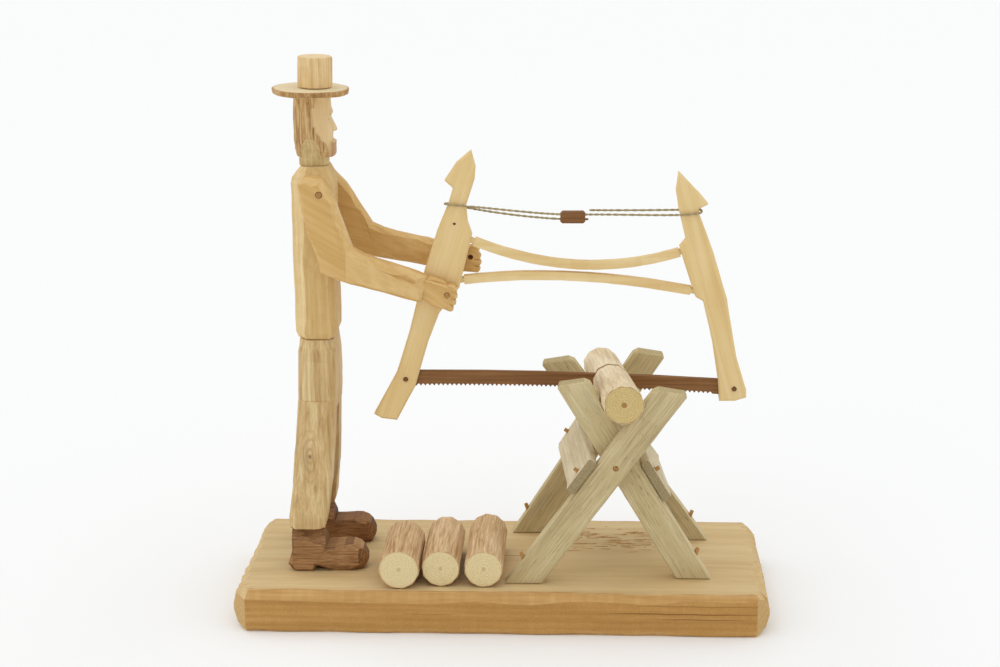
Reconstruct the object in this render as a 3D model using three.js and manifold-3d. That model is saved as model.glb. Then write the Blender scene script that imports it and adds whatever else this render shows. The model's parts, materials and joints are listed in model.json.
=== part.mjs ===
// A hand-carved wooden sawyer: a jointed figure holds a bow saw whose blade
// stands in the kerf of a log, on a sawbuck, on a board with three cut logs.
// Millimetres, +Z up, X along the board, the front at -Y.
// The origin is on the underside of the board, under its middle.

import * as THREE from 'three';
import { mergeVertices } from 'three/addons/utils/BufferGeometryUtils.js';
import Module from 'manifold-3d';

const wasm = await Module();
wasm.setup();

// ---------------------------------------------------------------- sizes

const gap = 0.3; // air between two pieces that meet
const fit = 0.3; // air round a peg in its hole

// The ends of the board bulge out at mid height, past its top and underside.
const board = { length: 307, depth: 122, height: 24.5, edge: 3.4, bulge: 5.6 };
const midplane = 2; // y of the plane that the figure and the saw share

const boot = { width: 20, height: 25.5, back: -18.3, spread: 43 };
const trousers = { rise: 39.7, topHalf: 17.6 }; // rise: from the crotch to the waist
const torso = { height: 99, halfDepth: 12.1, halfWidth: 17, behind: 0.4 };
const shoulderDrop = 12.4; // from the torso's top to the shoulder dowel
const shoulderAhead = 5.7; // from the torso's middle to the dowel
const head = { height: 40.5 };
const brim = { radius: 21.8, thickness: 2.2, tilt: 1.2 };
const crown = { radius: 10.8, height: 17 };

const shoulderDowelRadius = 1.65;
const arm = { thickness: 10.5, handThickness: 8.4, farLift: 13.9, bevel: 1.3 };
const grip = { x: 69.5, z: -60.9 }; // the hand's hole, from the shoulder
const handPegRadius = 1.3;
const jointDowel = { radius: 3, length: 16 }; // hidden in neck and waist

// The saw has its own frame: its origin is the peg through the near hand.
const sawX = -31;
const saw = { thickness: 7.5, bevel: 1.1 };
const stretcher = { height: 5, thickness: 4.6, tenonHeight: 3, tenon: 5 };
const blade = { thickness: 2.2, height: 9.2, toothPitch: 2.6, toothDepth: 1.2 };
const bladeArch = 1.8; // the blade bows up between its pins
const bladeLeft = { x: -25.3, z: -52.7 }; // pins that hold the blade
const bladeRight = { x: 164.7, z: -57.2 };
const bladePin = { radius: 1.1, proud: 1 };
const cordRadius = 0.65;
const toggle = { x: 71.3, z: 43.1, length: 14.2, height: 6.7, depth: 7.2 };

// Each leg's end is sawn nearly level, at its own height, lower at the outer edge.
const leg = { width: 17.3, thickness: 9.4, topZ: 141, bevel: 0.9, endCut: 2.2, endSlope: 0.16 };
const frontPair = {
  outerY: -45,
  into: 1,
  rising: { foot: 13, top: 97, end: 139.9 },
  falling: { foot: 110.6, top: 40.8, end: 141.8 },
};
const rearPair = {
  outerY: 45.4,
  into: -1,
  rising: { foot: 14, top: 87.4, end: 139.4 },
  falling: { foot: 111.5, top: 27.8, end: 137.2 },
};
const sideBoardThickness = 5.4;
const peg = { radius: 1.25, proud: 2.4 };
// A peg through each foot goes in at the leg's outer edge and into the board.
const footPeg = { height: 14.6, tilt: 20, proud: 3.2, intoBoard: 9 };
const crossingPegDrop = 3.6; // below the middle of the crossing
const crossingPegProud = 0.7;

const sawnLog = { frontRadius: 11.6, backRadius: 10.8, frontY: -50, backY: 46.5 };
const logBed = 1.1; // how deep the log is let into the legs
// The teeth stand this far below the log's middle, with air round the blade.
const kerf = { teethBelowMiddle: 3.75, side: 0.45, below: 2 };
// From the sawbuck's foot to the left, each a space from its neighbour.
const cutLogs = [
  { name: 'cut_log_right', space: 0.3, radius: 11.4, frontY: -51, length: 61 },
  { name: 'cut_log_middle', space: 1.8, radius: 11.3, frontY: -50.4, length: 56 },
  { name: 'cut_log_left', space: 0.3, radius: 12, frontY: -54.7, length: 49 },
];

const boardTop = board.height;

// ------------------------------------------------------------ materials

function wood(colour, roughness = 0.75) {
  return new THREE.MeshStandardMaterial({ color: colour, roughness, metalness: 0, flatShading: true });
}

const colours = {
  pale: '#cfae80',
  face: '#d9bd93',
  board: '#c9a777',
  bark: '#8a6f52',
  peeled: '#b79468',
  weathered: '#8f8d80',
  dark: '#5b3a24',
  pegWood: '#b98f5c',
  cord: '#6f6440',
  trousers: '#b89a6e',
};

// -------------------------------------------------------------- helpers

function facingOut(positions, faces) {
  let volume = 0;
  for (let k = 0; k < faces.length; k += 3) {
    const [a, b, c] = [faces[k], faces[k + 1], faces[k + 2]].map((i) => positions[i]);
    volume += a.dot(b.clone().cross(c));
  }
  return volume > 0 ? faces : faces.slice().reverse();
}

// A closed solid through matching rings of points.
function loft(rings) {
  const sides = rings[0].length;
  const points = rings.flat();
  const faces = [];
  for (let r = 0; r < rings.length - 1; r += 1) {
    for (let k = 0; k < sides; k += 1) {
      const a = r * sides + k;
      const b = r * sides + ((k + 1) % sides);
      faces.push(a, b, b + sides, a, b + sides, a + sides);
    }
  }
  const last = (rings.length - 1) * sides;
  for (let k = 1; k < sides - 1; k += 1) {
    faces.push(0, k + 1, k, last, last + k, last + k + 1);
  }
  const geometry = new THREE.BufferGeometry().setFromPoints(points);
  geometry.setIndex(facingOut(points, faces));
  return geometry;
}

// A level ring: a rectangle about (x, y) with its corners cut off.
function levelRing(x, y, z, halfX, halfY, cut) {
  const corners = [
    [halfX, -halfY + cut], [halfX, halfY - cut],
    [halfX - cut, halfY], [-halfX + cut, halfY],
    [-halfX, halfY - cut], [-halfX, -halfY + cut],
    [-halfX + cut, -halfY], [halfX - cut, -halfY],
  ];
  return corners.map(([dx, dy]) => new THREE.Vector3(x + dx, y + dy, z));
}

// A flat piece: an outline in the XZ plane with chamfered edges.
function plate(outline, frontY, backY, bevel) {
  const shape = new THREE.Shape(outline.map(([x, z]) => new THREE.Vector2(x, z)));
  const geometry = new THREE.ExtrudeGeometry(shape, {
    depth: backY - frontY - 2 * bevel,
    bevelEnabled: bevel > 0,
    bevelThickness: bevel,
    bevelSize: bevel,
    bevelOffset: -bevel,
    bevelSegments: 1,
    curveSegments: 1,
  });
  return geometry.translate(0, 0, bevel).rotateX(Math.PI / 2).translate(0, backY, 0);
}

// A round stick between two points.
function stick(from, to, radius, sides = 14) {
  const along = to.clone().sub(from);
  const turn = new THREE.Quaternion();
  turn.setFromUnitVectors(new THREE.Vector3(0, 1, 0), along.clone().normalize());
  const geometry = new THREE.CylinderGeometry(radius, radius, along.length(), sides);
  geometry.applyQuaternion(turn);
  const middle = from.clone().add(to).multiplyScalar(0.5);
  return geometry.translate(middle.x, middle.y, middle.z);
}

function stickAlongY(x, z, frontY, backY, radius, sides) {
  return stick(new THREE.Vector3(x, frontY, z), new THREE.Vector3(x, backY, z), radius, sides);
}

function box(minX, maxX, minY, maxY, minZ, maxZ) {
  const geometry = new THREE.BoxGeometry(maxX - minX, maxY - minY, maxZ - minZ);
  return geometry.translate((minX + maxX) / 2, (minY + maxY) / 2, (minZ + maxZ) / 2);
}

function toSolid(geometry) {
  const bare = geometry.clone();
  bare.deleteAttribute('normal');
  bare.deleteAttribute('uv');
  const merged = mergeVertices(bare, 1e-4);
  return new wasm.Manifold(new wasm.Mesh({
    numProp: 3,
    vertProperties: Float32Array.from(merged.attributes.position.array),
    triVerts: Uint32Array.from(merged.index.array),
  }));
}

function toGeometry(solid) {
  const { vertProperties, triVerts } = solid.getMesh();
  const geometry = new THREE.BufferGeometry();
  geometry.setAttribute('position', new THREE.BufferAttribute(Float32Array.from(vertProperties), 3));
  geometry.setIndex(new THREE.BufferAttribute(Uint32Array.from(triVerts), 1));
  return geometry;
}

function joined(geometries) {
  return toGeometry(geometries.map(toSolid).reduce((whole, next) => whole.add(next)));
}

function cut(geometry, tools) {
  return toGeometry(tools.map(toSolid).reduce((whole, next) => whole.subtract(next), toSolid(geometry)));
}

function piece(name, geometry, colour, roughness) {
  const mesh = new THREE.Mesh(geometry, wood(colour, roughness));
  geometry.computeVertexNormals();
  mesh.name = name;
  return mesh;
}

// --------------------------------------------------------------- places

// Heights run up from the board: legs, log, blade, saw, hand, shoulder.
const logMiddle = logCentre(midplane);
const teethZ = logMiddle.y - kerf.teethBelowMiddle;
const wrist = { x: sawX, z: teethZ + blade.height / 2 - bladeMiddle(logMiddle.x - sawX) };
const shoulder = { x: wrist.x - grip.x, z: wrist.z - grip.z };
const figureX = shoulder.x - shoulderAhead;

// The trousers are as long as the shoulder's height leaves room for.
const hemZ = boardTop + boot.height + gap;
const torsoTop = shoulder.z + shoulderDrop;
const torsoZ = torsoTop - torso.height;
const waistZ = torsoZ - gap;
const crotchZ = waistZ - trousers.rise;
const neckZ = torsoTop + gap;
const brimZ = neckZ + head.height + gap;
const crownZ = brimZ + brim.thickness + gap;

// ----------------------------------------------------------- base board

function baseBoard() {
  const x = board.length / 2;
  const y = board.depth / 2;
  const top = board.height;
  const geometry = loft([
    levelRing(0, 0, 0, x - board.bulge, y - board.edge, 4),
    levelRing(0, 0, board.edge, x - 2.2, y - 0.3, 6),
    levelRing(0, 0, top / 2, x, y, 7.5),
    levelRing(0, 0, top - board.edge - 1, x - 1.4, y, 7.5),
    levelRing(0, 0, top, x - board.bulge, y - board.edge, 5),
  ]);
  const holes = [frontPair, rearPair].flatMap((pair) =>
    ['rising', 'falling'].map((kind) => footPegHole(pair, kind)));
  return piece('base_board', cut(geometry, holes), colours.board);
}

// --------------------------------------------------------------- figure

function bootPiece(name, side) {
  const x = figureX + boot.back;
  const soleZ = boardTop;
  const top = soleZ + boot.height;
  const outline = [
    [x, soleZ + 4.5], [x + 3.5, soleZ], [x + 14.8, soleZ], [x + 16.2, soleZ + 3.4],
    [x + 18, soleZ + 3.2], [x + 27, soleZ], [x + 42.5, soleZ], [x + 46, soleZ + 1.8],
    [x + 46.4, soleZ + 8.5], [x + 43.6, soleZ + 13], [x + 38, soleZ + 16],
    [x + 22.4, soleZ + 14.4], [x + 21, top], [x + 2.4, top], [x + 2.6, soleZ + 13],
  ];
  const middle = midplane + (side * boot.spread) / 2;
  const body = plate(outline, middle - boot.width / 2, middle + boot.width / 2, 1.6);
  const toe = loft([
    levelRing(x + 50, middle - boot.width / 2, soleZ - 1, 9, 4.2, 0.5),
    levelRing(x + 50, middle - boot.width / 2, soleZ + 30, 9, 4.2, 0.5),
  ]);
  const otherToe = toe.clone().translate(0, boot.width, 0);
  return piece(name, cut(body, [toe, otherToe]), colours.dark, 0.7);
}

function trousersPiece() {
  const half = trousers.topHalf;
  const seat = loft([
    levelRing(figureX - 0.6, midplane, crotchZ - 2, 10.8, half + 2, 4),
    levelRing(figureX - 0.2, midplane, crotchZ + 12, 11.2, half + 2, 4.5),
    levelRing(figureX, midplane, waistZ - 7, 10.8, half + 0.6, 4.5),
    levelRing(figureX, midplane, waistZ, 9.8, half - 1, 4.5),
  ]);
  const top = crotchZ + 4;
  const legHeight = top - hemZ;
  const hip = 10.9;
  const trouserLeg = (side) => {
    const at = (back, share, height, halfX, halfY, corner) => {
      const out = hip + share * (boot.spread / 2 - hip);
      return levelRing(figureX - back, midplane + side * out, hemZ + height, halfX, halfY, corner);
    };
    return loft([
      at(6.6, 1, 0, 10.2, 9.2, 3.2),
      at(6.2, 0.96, 6, 11.2, 9.9, 3.4),
      at(3.8, 0.61, legHeight * 0.35, 11.3, 9.9, 3.6),
      at(2.2, 0.25, legHeight * 0.68, 11.2, 9.8, 3.8),
      at(0.8, 0, legHeight, 10.9, 9.2, 3.8),
    ]);
  };
  const whole = joined([seat, trouserLeg(-1), trouserLeg(1)]);
  return piece('trousers', cut(whole, [dowelHole(waistZ)]), colours.trousers, 0.8);
}

function dowelHole(z) {
  const low = new THREE.Vector3(figureX, midplane, z - jointDowel.length / 2 - fit);
  const high = new THREE.Vector3(figureX, midplane, z + jointDowel.length / 2 + fit);
  return stick(low, high, jointDowel.radius + fit);
}

function hiddenDowel(name, z) {
  const low = new THREE.Vector3(figureX, midplane, z - jointDowel.length / 2);
  const high = new THREE.Vector3(figureX, midplane, z + jointDowel.length / 2);
  return piece(name, stick(low, high, jointDowel.radius), colours.pegWood);
}

function torsoPiece() {
  const ring = (height, x, y, corner) =>
    levelRing(figureX - torso.behind, midplane, torsoZ + height,
      torso.halfDepth - x, torso.halfWidth - y, corner);
  const body = loft([
    ring(0, 1.8, 2, 4.2),
    ring(4, 0.2, 0.2, 4.8),
    ring(torso.height / 2, 0, 0, 5),
    ring(torso.height - 11, 0.2, 0, 4.6),
    ring(torso.height, 2.2, 5.6, 4),
  ]);
  const cross = stickAlongY(shoulder.x, shoulder.z, -60, 60, shoulderDowelRadius + fit);
  return piece('torso', cut(body, [cross, dowelHole(waistZ), dowelHole(neckZ)]), colours.pale);
}

function headPiece() {
  const ring = (height, ahead, halfX, halfY, corner) =>
    levelRing(figureX + ahead, midplane, neckZ + height, halfX, halfY, corner);
  const skull = loft([
    ring(0, 0.1, 8.3, 7.6, 3),
    ring(3.6, 0.3, 8.6, 7.8, 3),
    ring(6, 1.2, 11.2, 9, 4),
    ring(16, 1.2, 11.5, 10.2, 4.4),
    ring(30, 0.3, 10.6, 10.3, 4.4),
    ring(head.height, 0.1, 10, 9.6, 4),
  ]);
  const nose = loft([
    ring(20.4, 9.2, 3.6, 1.9, 0.7),
    ring(22, 9.2, 4.3, 2, 0.8),
    ring(29.4, 9.2, 1.6, 1, 0.4),
  ]);
  return piece('head', cut(joined([skull, nose]), [dowelHole(neckZ)]), colours.face);
}

function hat() {
  const group = new THREE.Group();
  group.position.set(figureX - 0.8, midplane, brimZ + 0.5);
  group.rotation.y = THREE.MathUtils.degToRad(brim.tilt);
  const disc = new THREE.CylinderGeometry(brim.radius, brim.radius - 0.4, brim.thickness, 24);
  disc.rotateX(Math.PI / 2).translate(0, 0, brim.thickness / 2);
  const top = new THREE.CylinderGeometry(crown.radius - 0.4, crown.radius, crown.height, 14);
  top.rotateX(Math.PI / 2).translate(2.7, 0, crownZ - brimZ + crown.height / 2);
  group.add(piece('hat_brim', disc, colours.pale), piece('hat_crown', top, colours.pale));
  return group;
}

// ----------------------------------------------------------------- arms

// An arm is carved from a board: a flat upper arm, a forearm that leans in
// to the saw and a flat hand. The outlines are about the shoulder dowel.
// handHole is how far the hand's hole goes in from its inner face.
function armGeometry(handHole) {
  const inner = torso.halfWidth + gap;
  const outer = inner + arm.thickness;
  const handInner = saw.thickness / 2 + gap;
  const upper = [
    [-12, 6], [-8.6, 9.8], [1.6, 8.6], [8.8, -4.8], [13.2, -18.6],
    [17.2, -31], [10, -50.6], [-0.4, -44.6], [-2.2, -36.6], [-7.8, -20.6], [-10.2, -8],
  ];
  const fore = [
    [6, -26], [15.4, -27.8], [17.6, -31], [23.4, -35.3], [38, -41.7],
    [47.6, -45.4], [58.4, -50.4], [54.6, -65], [46, -62.1], [33.2, -57.2],
    [16.4, -51.5], [5.4, -47.5], [-0.4, -44.4], [0, -34],
  ];
  const hand = [
    [52, -51.4], [68.4, -53.9], [72.6, -55.3], [75.6, -58.4], [75, -61.4],
    [74.4, -64.6], [73.4, -68.2], [72.2, -71.2], [69.8, -70.8], [61, -67.8],
    [56.2, -64.8], [51, -63.4],
  ];
  const lean = (inner - handInner) / (56 - 14);
  const shear = new THREE.Matrix4().set(1, 0, 0, 0, lean, 1, 0, -14 * lean, 0, 0, 1, 0, 0, 0, 0, 1);
  const parts = [
    plate(upper, -outer, -inner, arm.bevel),
    plate(fore, -outer, -inner, arm.bevel).applyMatrix4(shear),
    plate(hand, -handInner - arm.handThickness, -handInner, arm.bevel),
  ];
  return cut(joined(parts), [
    stickAlongY(0, 0, -60, 60, shoulderDowelRadius + fit),
    stickAlongY(grip.x, grip.z, -handInner - handHole, 60, handPegRadius + fit),
  ]);
}

function nearArm() {
  const mesh = piece('near_arm', armGeometry(2 * arm.handThickness), colours.pale);
  mesh.position.set(shoulder.x, midplane, shoulder.z);
  return mesh;
}

// The far arm is the near arm's mirror image, swung up off its peg.
function farArm() {
  const mirrored = armGeometry(0.7 * arm.handThickness).scale(1, -1, 1);
  mirrored.setIndex(Array.from(mirrored.index.array).reverse());
  const mesh = piece('far_arm', mirrored, colours.pale);
  mesh.position.set(shoulder.x, midplane, shoulder.z);
  mesh.rotation.y = -THREE.MathUtils.degToRad(arm.farLift);
  return mesh;
}

function shoulderDowel() {
  const reach = torso.halfWidth + gap + arm.thickness + 0.4;
  const mesh = piece('shoulder_dowel', stickAlongY(0, 0, -reach, reach, shoulderDowelRadius), colours.pegWood);
  mesh.position.set(shoulder.x, midplane, shoulder.z);
  return mesh;
}

// The peg goes through the near hand and the saw's cheek, and stops flush
// with the cheek's far face.
function handPeg() {
  const front = saw.thickness / 2 + gap + arm.handThickness + peg.proud;
  const mesh = piece('near_hand_peg', stickAlongY(0, 0, -front, saw.thickness / 2, handPegRadius), colours.pegWood);
  mesh.position.set(wrist.x, midplane, wrist.z);
  return mesh;
}

// ------------------------------------------------------------------ saw

// All in the saw's frame: X and Z from the hand peg, Y from the midplane.
const sawFront = -saw.thickness / 2;
const sawBack = saw.thickness / 2;

// Centre lines of the two bowed stretchers, from cheek to cheek.
const upperBow = new THREE.QuadraticBezierCurve(
  new THREE.Vector2(14.4, 29.2), new THREE.Vector2(75, 4.7), new THREE.Vector2(132.6, 23.3),
);
const lowerBow = new THREE.QuadraticBezierCurve(
  new THREE.Vector2(8.4, 6.3), new THREE.Vector2(69, 14), new THREE.Vector2(139.6, 0.5),
);

// A strip of even height along part of a bow.
function bowStrip(bow, from, to, height, thickness, steps) {
  const points = [];
  for (const side of [1, -1]) {
    for (let k = 0; k <= steps; k += 1) {
      const t = side > 0 ? from + ((to - from) * k) / steps : to - ((to - from) * k) / steps;
      const at = bow.getPoint(t);
      const along = bow.getTangent(t);
      points.push([at.x - (side * along.y * height) / 2, at.y + (side * along.x * height) / 2]);
    }
  }
  return plate(points, -thickness / 2, thickness / 2, 0);
}

// A straight tenon off one end of a bow, pointing into the cheek.
function tenon(bow, end, length, height, thickness) {
  const at = bow.getPoint(end);
  const along = bow.getTangent(end).multiplyScalar(end === 0 ? -1 : 1);
  const up = new THREE.Vector2(-along.y, along.x).multiplyScalar(height / 2);
  const back = at.clone().addScaledVector(along, -2);
  const tip = at.clone().addScaledVector(along, length);
  const corners = [back.clone().sub(up), tip.clone().sub(up), tip.clone().add(up), back.clone().add(up)];
  const outline = corners.map((corner) => [corner.x, corner.y]);
  if (end === 0) outline.reverse();
  return plate(outline, -thickness / 2, thickness / 2, 0);
}

function stretcherPiece(name, bow) {
  const { height, thickness, tenonHeight } = stretcher;
  const strip = bowStrip(bow, 0.006, 0.994, height, thickness, 22);
  const ends = [0, 1].map((end) => tenon(bow, end, stretcher.tenon, tenonHeight, thickness - 1));
  return piece(name, joined([strip, ...ends]), colours.pale);
}

function mortises(end) {
  const { tenonHeight, thickness } = stretcher;
  const depth = stretcher.tenon + gap;
  return [upperBow, lowerBow].map((bow) =>
    tenon(bow, end, depth, tenonHeight + 2 * fit, thickness - 1 + 2 * fit));
}

// The line of the blade, from pin to pin.
function bladeMiddle(x) {
  const share = (x - bladeLeft.x) / (bladeRight.x - bladeLeft.x);
  const arch = 4 * bladeArch * Math.max(0, share * (1 - share));
  return bladeLeft.z + share * (bladeRight.z - bladeLeft.z) + arch;
}

const bladeEnd = 4.4; // past each pin

function bladePiece() {
  const start = bladeLeft.x - bladeEnd;
  const stop = bladeRight.x + bladeEnd;
  const toothed = [bladeLeft.x + 6, bladeRight.x - 10];
  const half = blade.height / 2;
  const outline = [[start, bladeMiddle(start) - half], [toothed[0], bladeMiddle(toothed[0]) - half]];
  const teeth = Math.floor((toothed[1] - toothed[0]) / blade.toothPitch);
  for (let k = 0; k < teeth; k += 1) {
    const x = toothed[0] + k * blade.toothPitch;
    const low = bladeMiddle(x) - half;
    outline.push([x + 0.36 * blade.toothPitch, low + blade.toothDepth]);
    outline.push([x + 0.64 * blade.toothPitch, low + blade.toothDepth]);
    outline.push([x + blade.toothPitch, low]);
  }
  outline.push([stop, bladeMiddle(stop) - half]);
  for (let k = 0; k <= 12; k += 1) {
    const x = stop + ((start - stop) * k) / 12;
    outline.push([x, bladeMiddle(x) + half]);
  }
  const body = plate(outline, -blade.thickness / 2, blade.thickness / 2, 0);
  return piece('saw_blade', cut(body, [pinHole(bladeLeft), pinHole(bladeRight)]), colours.dark, 0.6);
}

function pinHole(pin) {
  return stickAlongY(pin.x, pin.z, -60, 60, bladePin.radius + fit);
}

function bladeSlot(left) {
  const width = blade.thickness / 2 + fit;
  const pin = left ? bladeLeft : bladeRight;
  const reach = bladeEnd + gap;
  const half = blade.height / 2 + fit;
  const minX = left ? pin.x - reach : pin.x - 30;
  const maxX = left ? pin.x + 30 : pin.x + reach;
  return box(minX, maxX, -width, width, pin.z - half - 0.8, pin.z + half + 0.8);
}

function leftCheek() {
  const outline = [
    [13.8, 81.5], [16.5, 71.9], [15.8, 64.9], [10.8, 49.9], [11.6, 40.3],
    [14, 32.9], [6.6, 2.3], [-5.1, -13.1], [-12, -30.9], [-20, -57.7], [-30.8, -77.9],
    [-39.9, -76.7], [-44.4, -74.1], [-30.6, -48.8], [-22.6, -23.1], [-14.6, 8.9],
    [-5.7, 36.1], [0.4, 50.9], [3.4, 60.1], [-1.4, 64.4], [5.4, 74.7],
  ];
  const spare = { x: 4.1, z: 39.6, radius: 0.8 };
  const body = plate(outline, sawFront, sawBack, saw.bevel);
  const tools = [
    ...mortises(0), bladeSlot(true), pinHole(bladeLeft),
    stickAlongY(0, 0, -60, 60, handPegRadius + fit),
    stickAlongY(spare.x, spare.z, -60, 60, spare.radius),
  ];
  return piece('left_cheek', cut(body, tools), colours.pale);
}

function rightCheek() {
  const outline = [
    [130.6, 69.7], [141.9, 57.9], [147.7, 51.1], [142.5, 48.5], [143, 44.8],
    [151.7, 21.9], [159.5, -4.3], [163.7, -27.9], [165.9, -39.4], [172, -58.7],
    [171.9, -62.5], [165.6, -64.7], [156.2, -64.9], [155.2, -51.9], [151.4, -29],
    [145.7, -5.3], [141.4, -2.9], [134.6, 17.1], [131.7, 26.5], [135.1, 30.9],
    [130.9, 47.7], [129.2, 58.9],
  ];
  const body = plate(outline, sawFront, sawBack, saw.bevel);
  const tools = [...mortises(1), bladeSlot(false), pinHole(bladeRight)];
  return piece('right_cheek', cut(body, tools), colours.pale);
}

function bladePinPiece(name, pin) {
  const front = sawFront - bladePin.proud;
  return piece(name, stickAlongY(pin.x, pin.z, front, sawBack, bladePin.radius), colours.pegWood);
}

// The tension cord: from a cut end right of the toggle, round the right
// cheek's notch, through the toggle, round the left cheek's neck and back
// through the toggle.
const cordRoute = [
  [80.6, 2.6, 46.5], [93, 3.4, 46.3], [111, 4.3, 46.2], [128, 4.9, 46.3], [138, 4.9, 46.5],
  [142.6, 4.4, 46.7], [143.9, 2.4, 46.7], [143.9, -2.4, 46.7], [142.6, -4.4, 46.5],
  [138, -4.9, 45.9], [128, -4.9, 45.4], [111, -3.9, 45.2], [93, -2.6, 45.1], [79.6, -1.6, 44.9],
  [71, -1.4, 44.9], [63, -1.6, 45], [51, -2.4, 45.9], [36, -3.5, 47.5], [21, -4.5, 49.2],
  [11, -4.9, 50.1], [2.6, -4.9, 50.9], [-0.2, -4.2, 51.1], [-1.2, -2.2, 50.9],
  [-1.2, 2.2, 50.2], [-0.2, 4.2, 49.9], [3.4, 4.9, 49.1], [12, 4.9, 47.1],
  [23, 4.3, 45.3], [39, 3.3, 43.3], [53, 2.4, 42.1], [63, 1.6, 41.6], [71, 1.4, 41.5],
  [80.4, 1.4, 41.5],
];

function cordTube(radius, steps, sides) {
  const curve = new THREE.CatmullRomCurve3(cordRoute.map(([x, y, z]) => new THREE.Vector3(x, y, z)));
  const section = new THREE.Shape();
  for (let k = 0; k < sides; k += 1) {
    const turn = (2 * Math.PI * k) / sides;
    section[k ? 'lineTo' : 'moveTo'](radius * Math.cos(turn), radius * Math.sin(turn));
  }
  return new THREE.ExtrudeGeometry(section, { extrudePath: curve, steps, bevelEnabled: false });
}

function cord() {
  return piece('tension_cord', toGeometry(toSolid(cordTube(cordRadius, 110, 8))), colours.cord, 0.85);
}

function togglePiece() {
  const { x, z, length, height, depth } = toggle;
  const end = length / 2;
  const section = (along, halfY, halfZ, corner) => [
    [halfY, -halfZ + corner], [halfY, halfZ - corner], [halfY - corner, halfZ], [-halfY + corner, halfZ],
    [-halfY, halfZ - corner], [-halfY, -halfZ + corner], [-halfY + corner, -halfZ], [halfY - corner, -halfZ],
  ].map(([dy, dz]) => new THREE.Vector3(x + along, dy, z + dz));
  const body = loft([
    section(-end, depth / 2 - 0.9, height / 2 - 0.9, 0.9),
    section(-end + 1.2, depth / 2, height / 2, 1.2),
    section(end - 1.2, depth / 2, height / 2, 1.2),
    section(end, depth / 2 - 0.9, height / 2 - 0.9, 0.9),
  ]);
  return piece('toggle', cut(body, [cordTube(cordRadius + fit, 110, 8)]), colours.dark, 0.6);
}

// -------------------------------------------------------------- sawbuck

// The centre line of a leg, with the direction up it and across it.
function legLine({ foot, top }) {
  const low = new THREE.Vector2(foot, boardTop);
  const high = new THREE.Vector2(top, leg.topZ);
  const along = high.clone().sub(low).normalize();
  return { low, along, across: new THREE.Vector2(-along.y, along.x) };
}

function legOutline(place) {
  const { low, along, across } = legLine(place);
  const half = leg.width / 2;
  const slope = -Math.sign(along.x) * leg.endSlope;
  const middle = low.clone().addScaledVector(along, (place.end - low.y) / along.y);
  const sawn = new THREE.Vector2(1, slope).normalize();
  const atEnd = (out, back) => {
    const start = low.clone().addScaledVector(across, out);
    const short = middle.y + slope * (start.x - middle.x) - start.y;
    return start.addScaledVector(along, short / (along.y - slope * along.x) - back);
  };
  const corners = [
    new THREE.Vector2(low.x - half / along.y, boardTop),
    new THREE.Vector2(low.x + half / along.y, boardTop),
    atEnd(-half, leg.endCut), atEnd(-half, 0).addScaledVector(sawn, -leg.endCut),
    atEnd(half, 0).addScaledVector(sawn, leg.endCut), atEnd(half, leg.endCut),
  ];
  return corners.map((corner) => [corner.x, corner.y]);
}

// Where the centre lines of a pair cross, moved off both by the same side.
function linesMeet(pair, outRising, outFalling) {
  const a = legLine(pair.rising);
  const b = legLine(pair.falling);
  const left = a.low.clone().addScaledVector(a.across, outRising);
  const right = b.low.clone().addScaledVector(b.across, outFalling);
  const t = right.clone().sub(left).cross(b.along) / a.along.cross(b.along);
  return left.addScaledVector(a.along, t);
}

function crossing(pair) {
  return linesMeet(pair, 0, 0);
}

function edgesMeet(pair, side) {
  return linesMeet(pair, (side * leg.width) / 2, (side * leg.width) / 2);
}

// The rising leg is outside its pair and the falling leg inside.
function legSpan(pair, kind) {
  const step = kind === 'rising' ? 0 : leg.thickness + gap;
  const outer = pair.outerY + pair.into * step;
  const inner = outer + pair.into * leg.thickness;
  return [Math.min(outer, inner), Math.max(outer, inner)];
}

// The ends of a foot's peg, with some added at the head and the tip.
function footPegEnds(pair, kind, moreHead = 0, moreTip = 0) {
  const { low, along, across } = legLine(pair[kind]);
  const side = kind === 'rising' ? 1 : -1;
  const edge = low.clone().addScaledVector(across, (side * leg.width) / 2);
  const entry = edge.addScaledVector(along, (boardTop + footPeg.height - edge.y) / along.y);
  const tilt = THREE.MathUtils.degToRad(footPeg.tilt);
  const up = new THREE.Vector2(-side * Math.sin(tilt), Math.cos(tilt));
  const head = entry.clone().addScaledVector(up, footPeg.proud + moreHead);
  const down = (footPeg.height + footPeg.intoBoard) / up.y;
  const tip = entry.clone().addScaledVector(up, -down - moreTip);
  const span = legSpan(pair, kind);
  const y = (span[0] + span[1]) / 2;
  return [new THREE.Vector3(head.x, y, head.y), new THREE.Vector3(tip.x, y, tip.y)];
}

function footPegHole(pair, kind) {
  const [head, tip] = footPegEnds(pair, kind, 6, fit);
  return stick(head, tip, peg.radius + fit);
}

function crossingPegPlace(pair) {
  const at = crossing(pair);
  const spans = [legSpan(pair, 'rising'), legSpan(pair, 'falling')].flat();
  return { x: at.x - 1, z: at.y - crossingPegDrop, front: Math.min(...spans), back: Math.max(...spans) };
}

// A side board lies on the upper faces of the same leg of both pairs: drop is
// from the legs' crossing to its top edge, pegUp from its middle to its pegs.
const sideBoards = {
  left: { kind: 'rising', side: 1, width: 23.2, drop: 1.2, pegUp: 0, overhang: 1.8 },
  right: { kind: 'falling', side: -1, width: 26.4, drop: 4.8, pegUp: 5, overhang: 0 },
};

// The middle of the board's seat: its top end is a drop below the corner
// where the edges of the two legs meet.
function boardSeat(place, pair) {
  const { along, across } = legLine(pair[place.kind]);
  const out = across.clone().multiplyScalar(place.side);
  const corner = edgesMeet(pair, place.side);
  const down = place.drop + place.width / 2;
  const on = corner.addScaledVector(along, -down).addScaledVector(out, gap);
  return { on, along, out };
}

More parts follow.
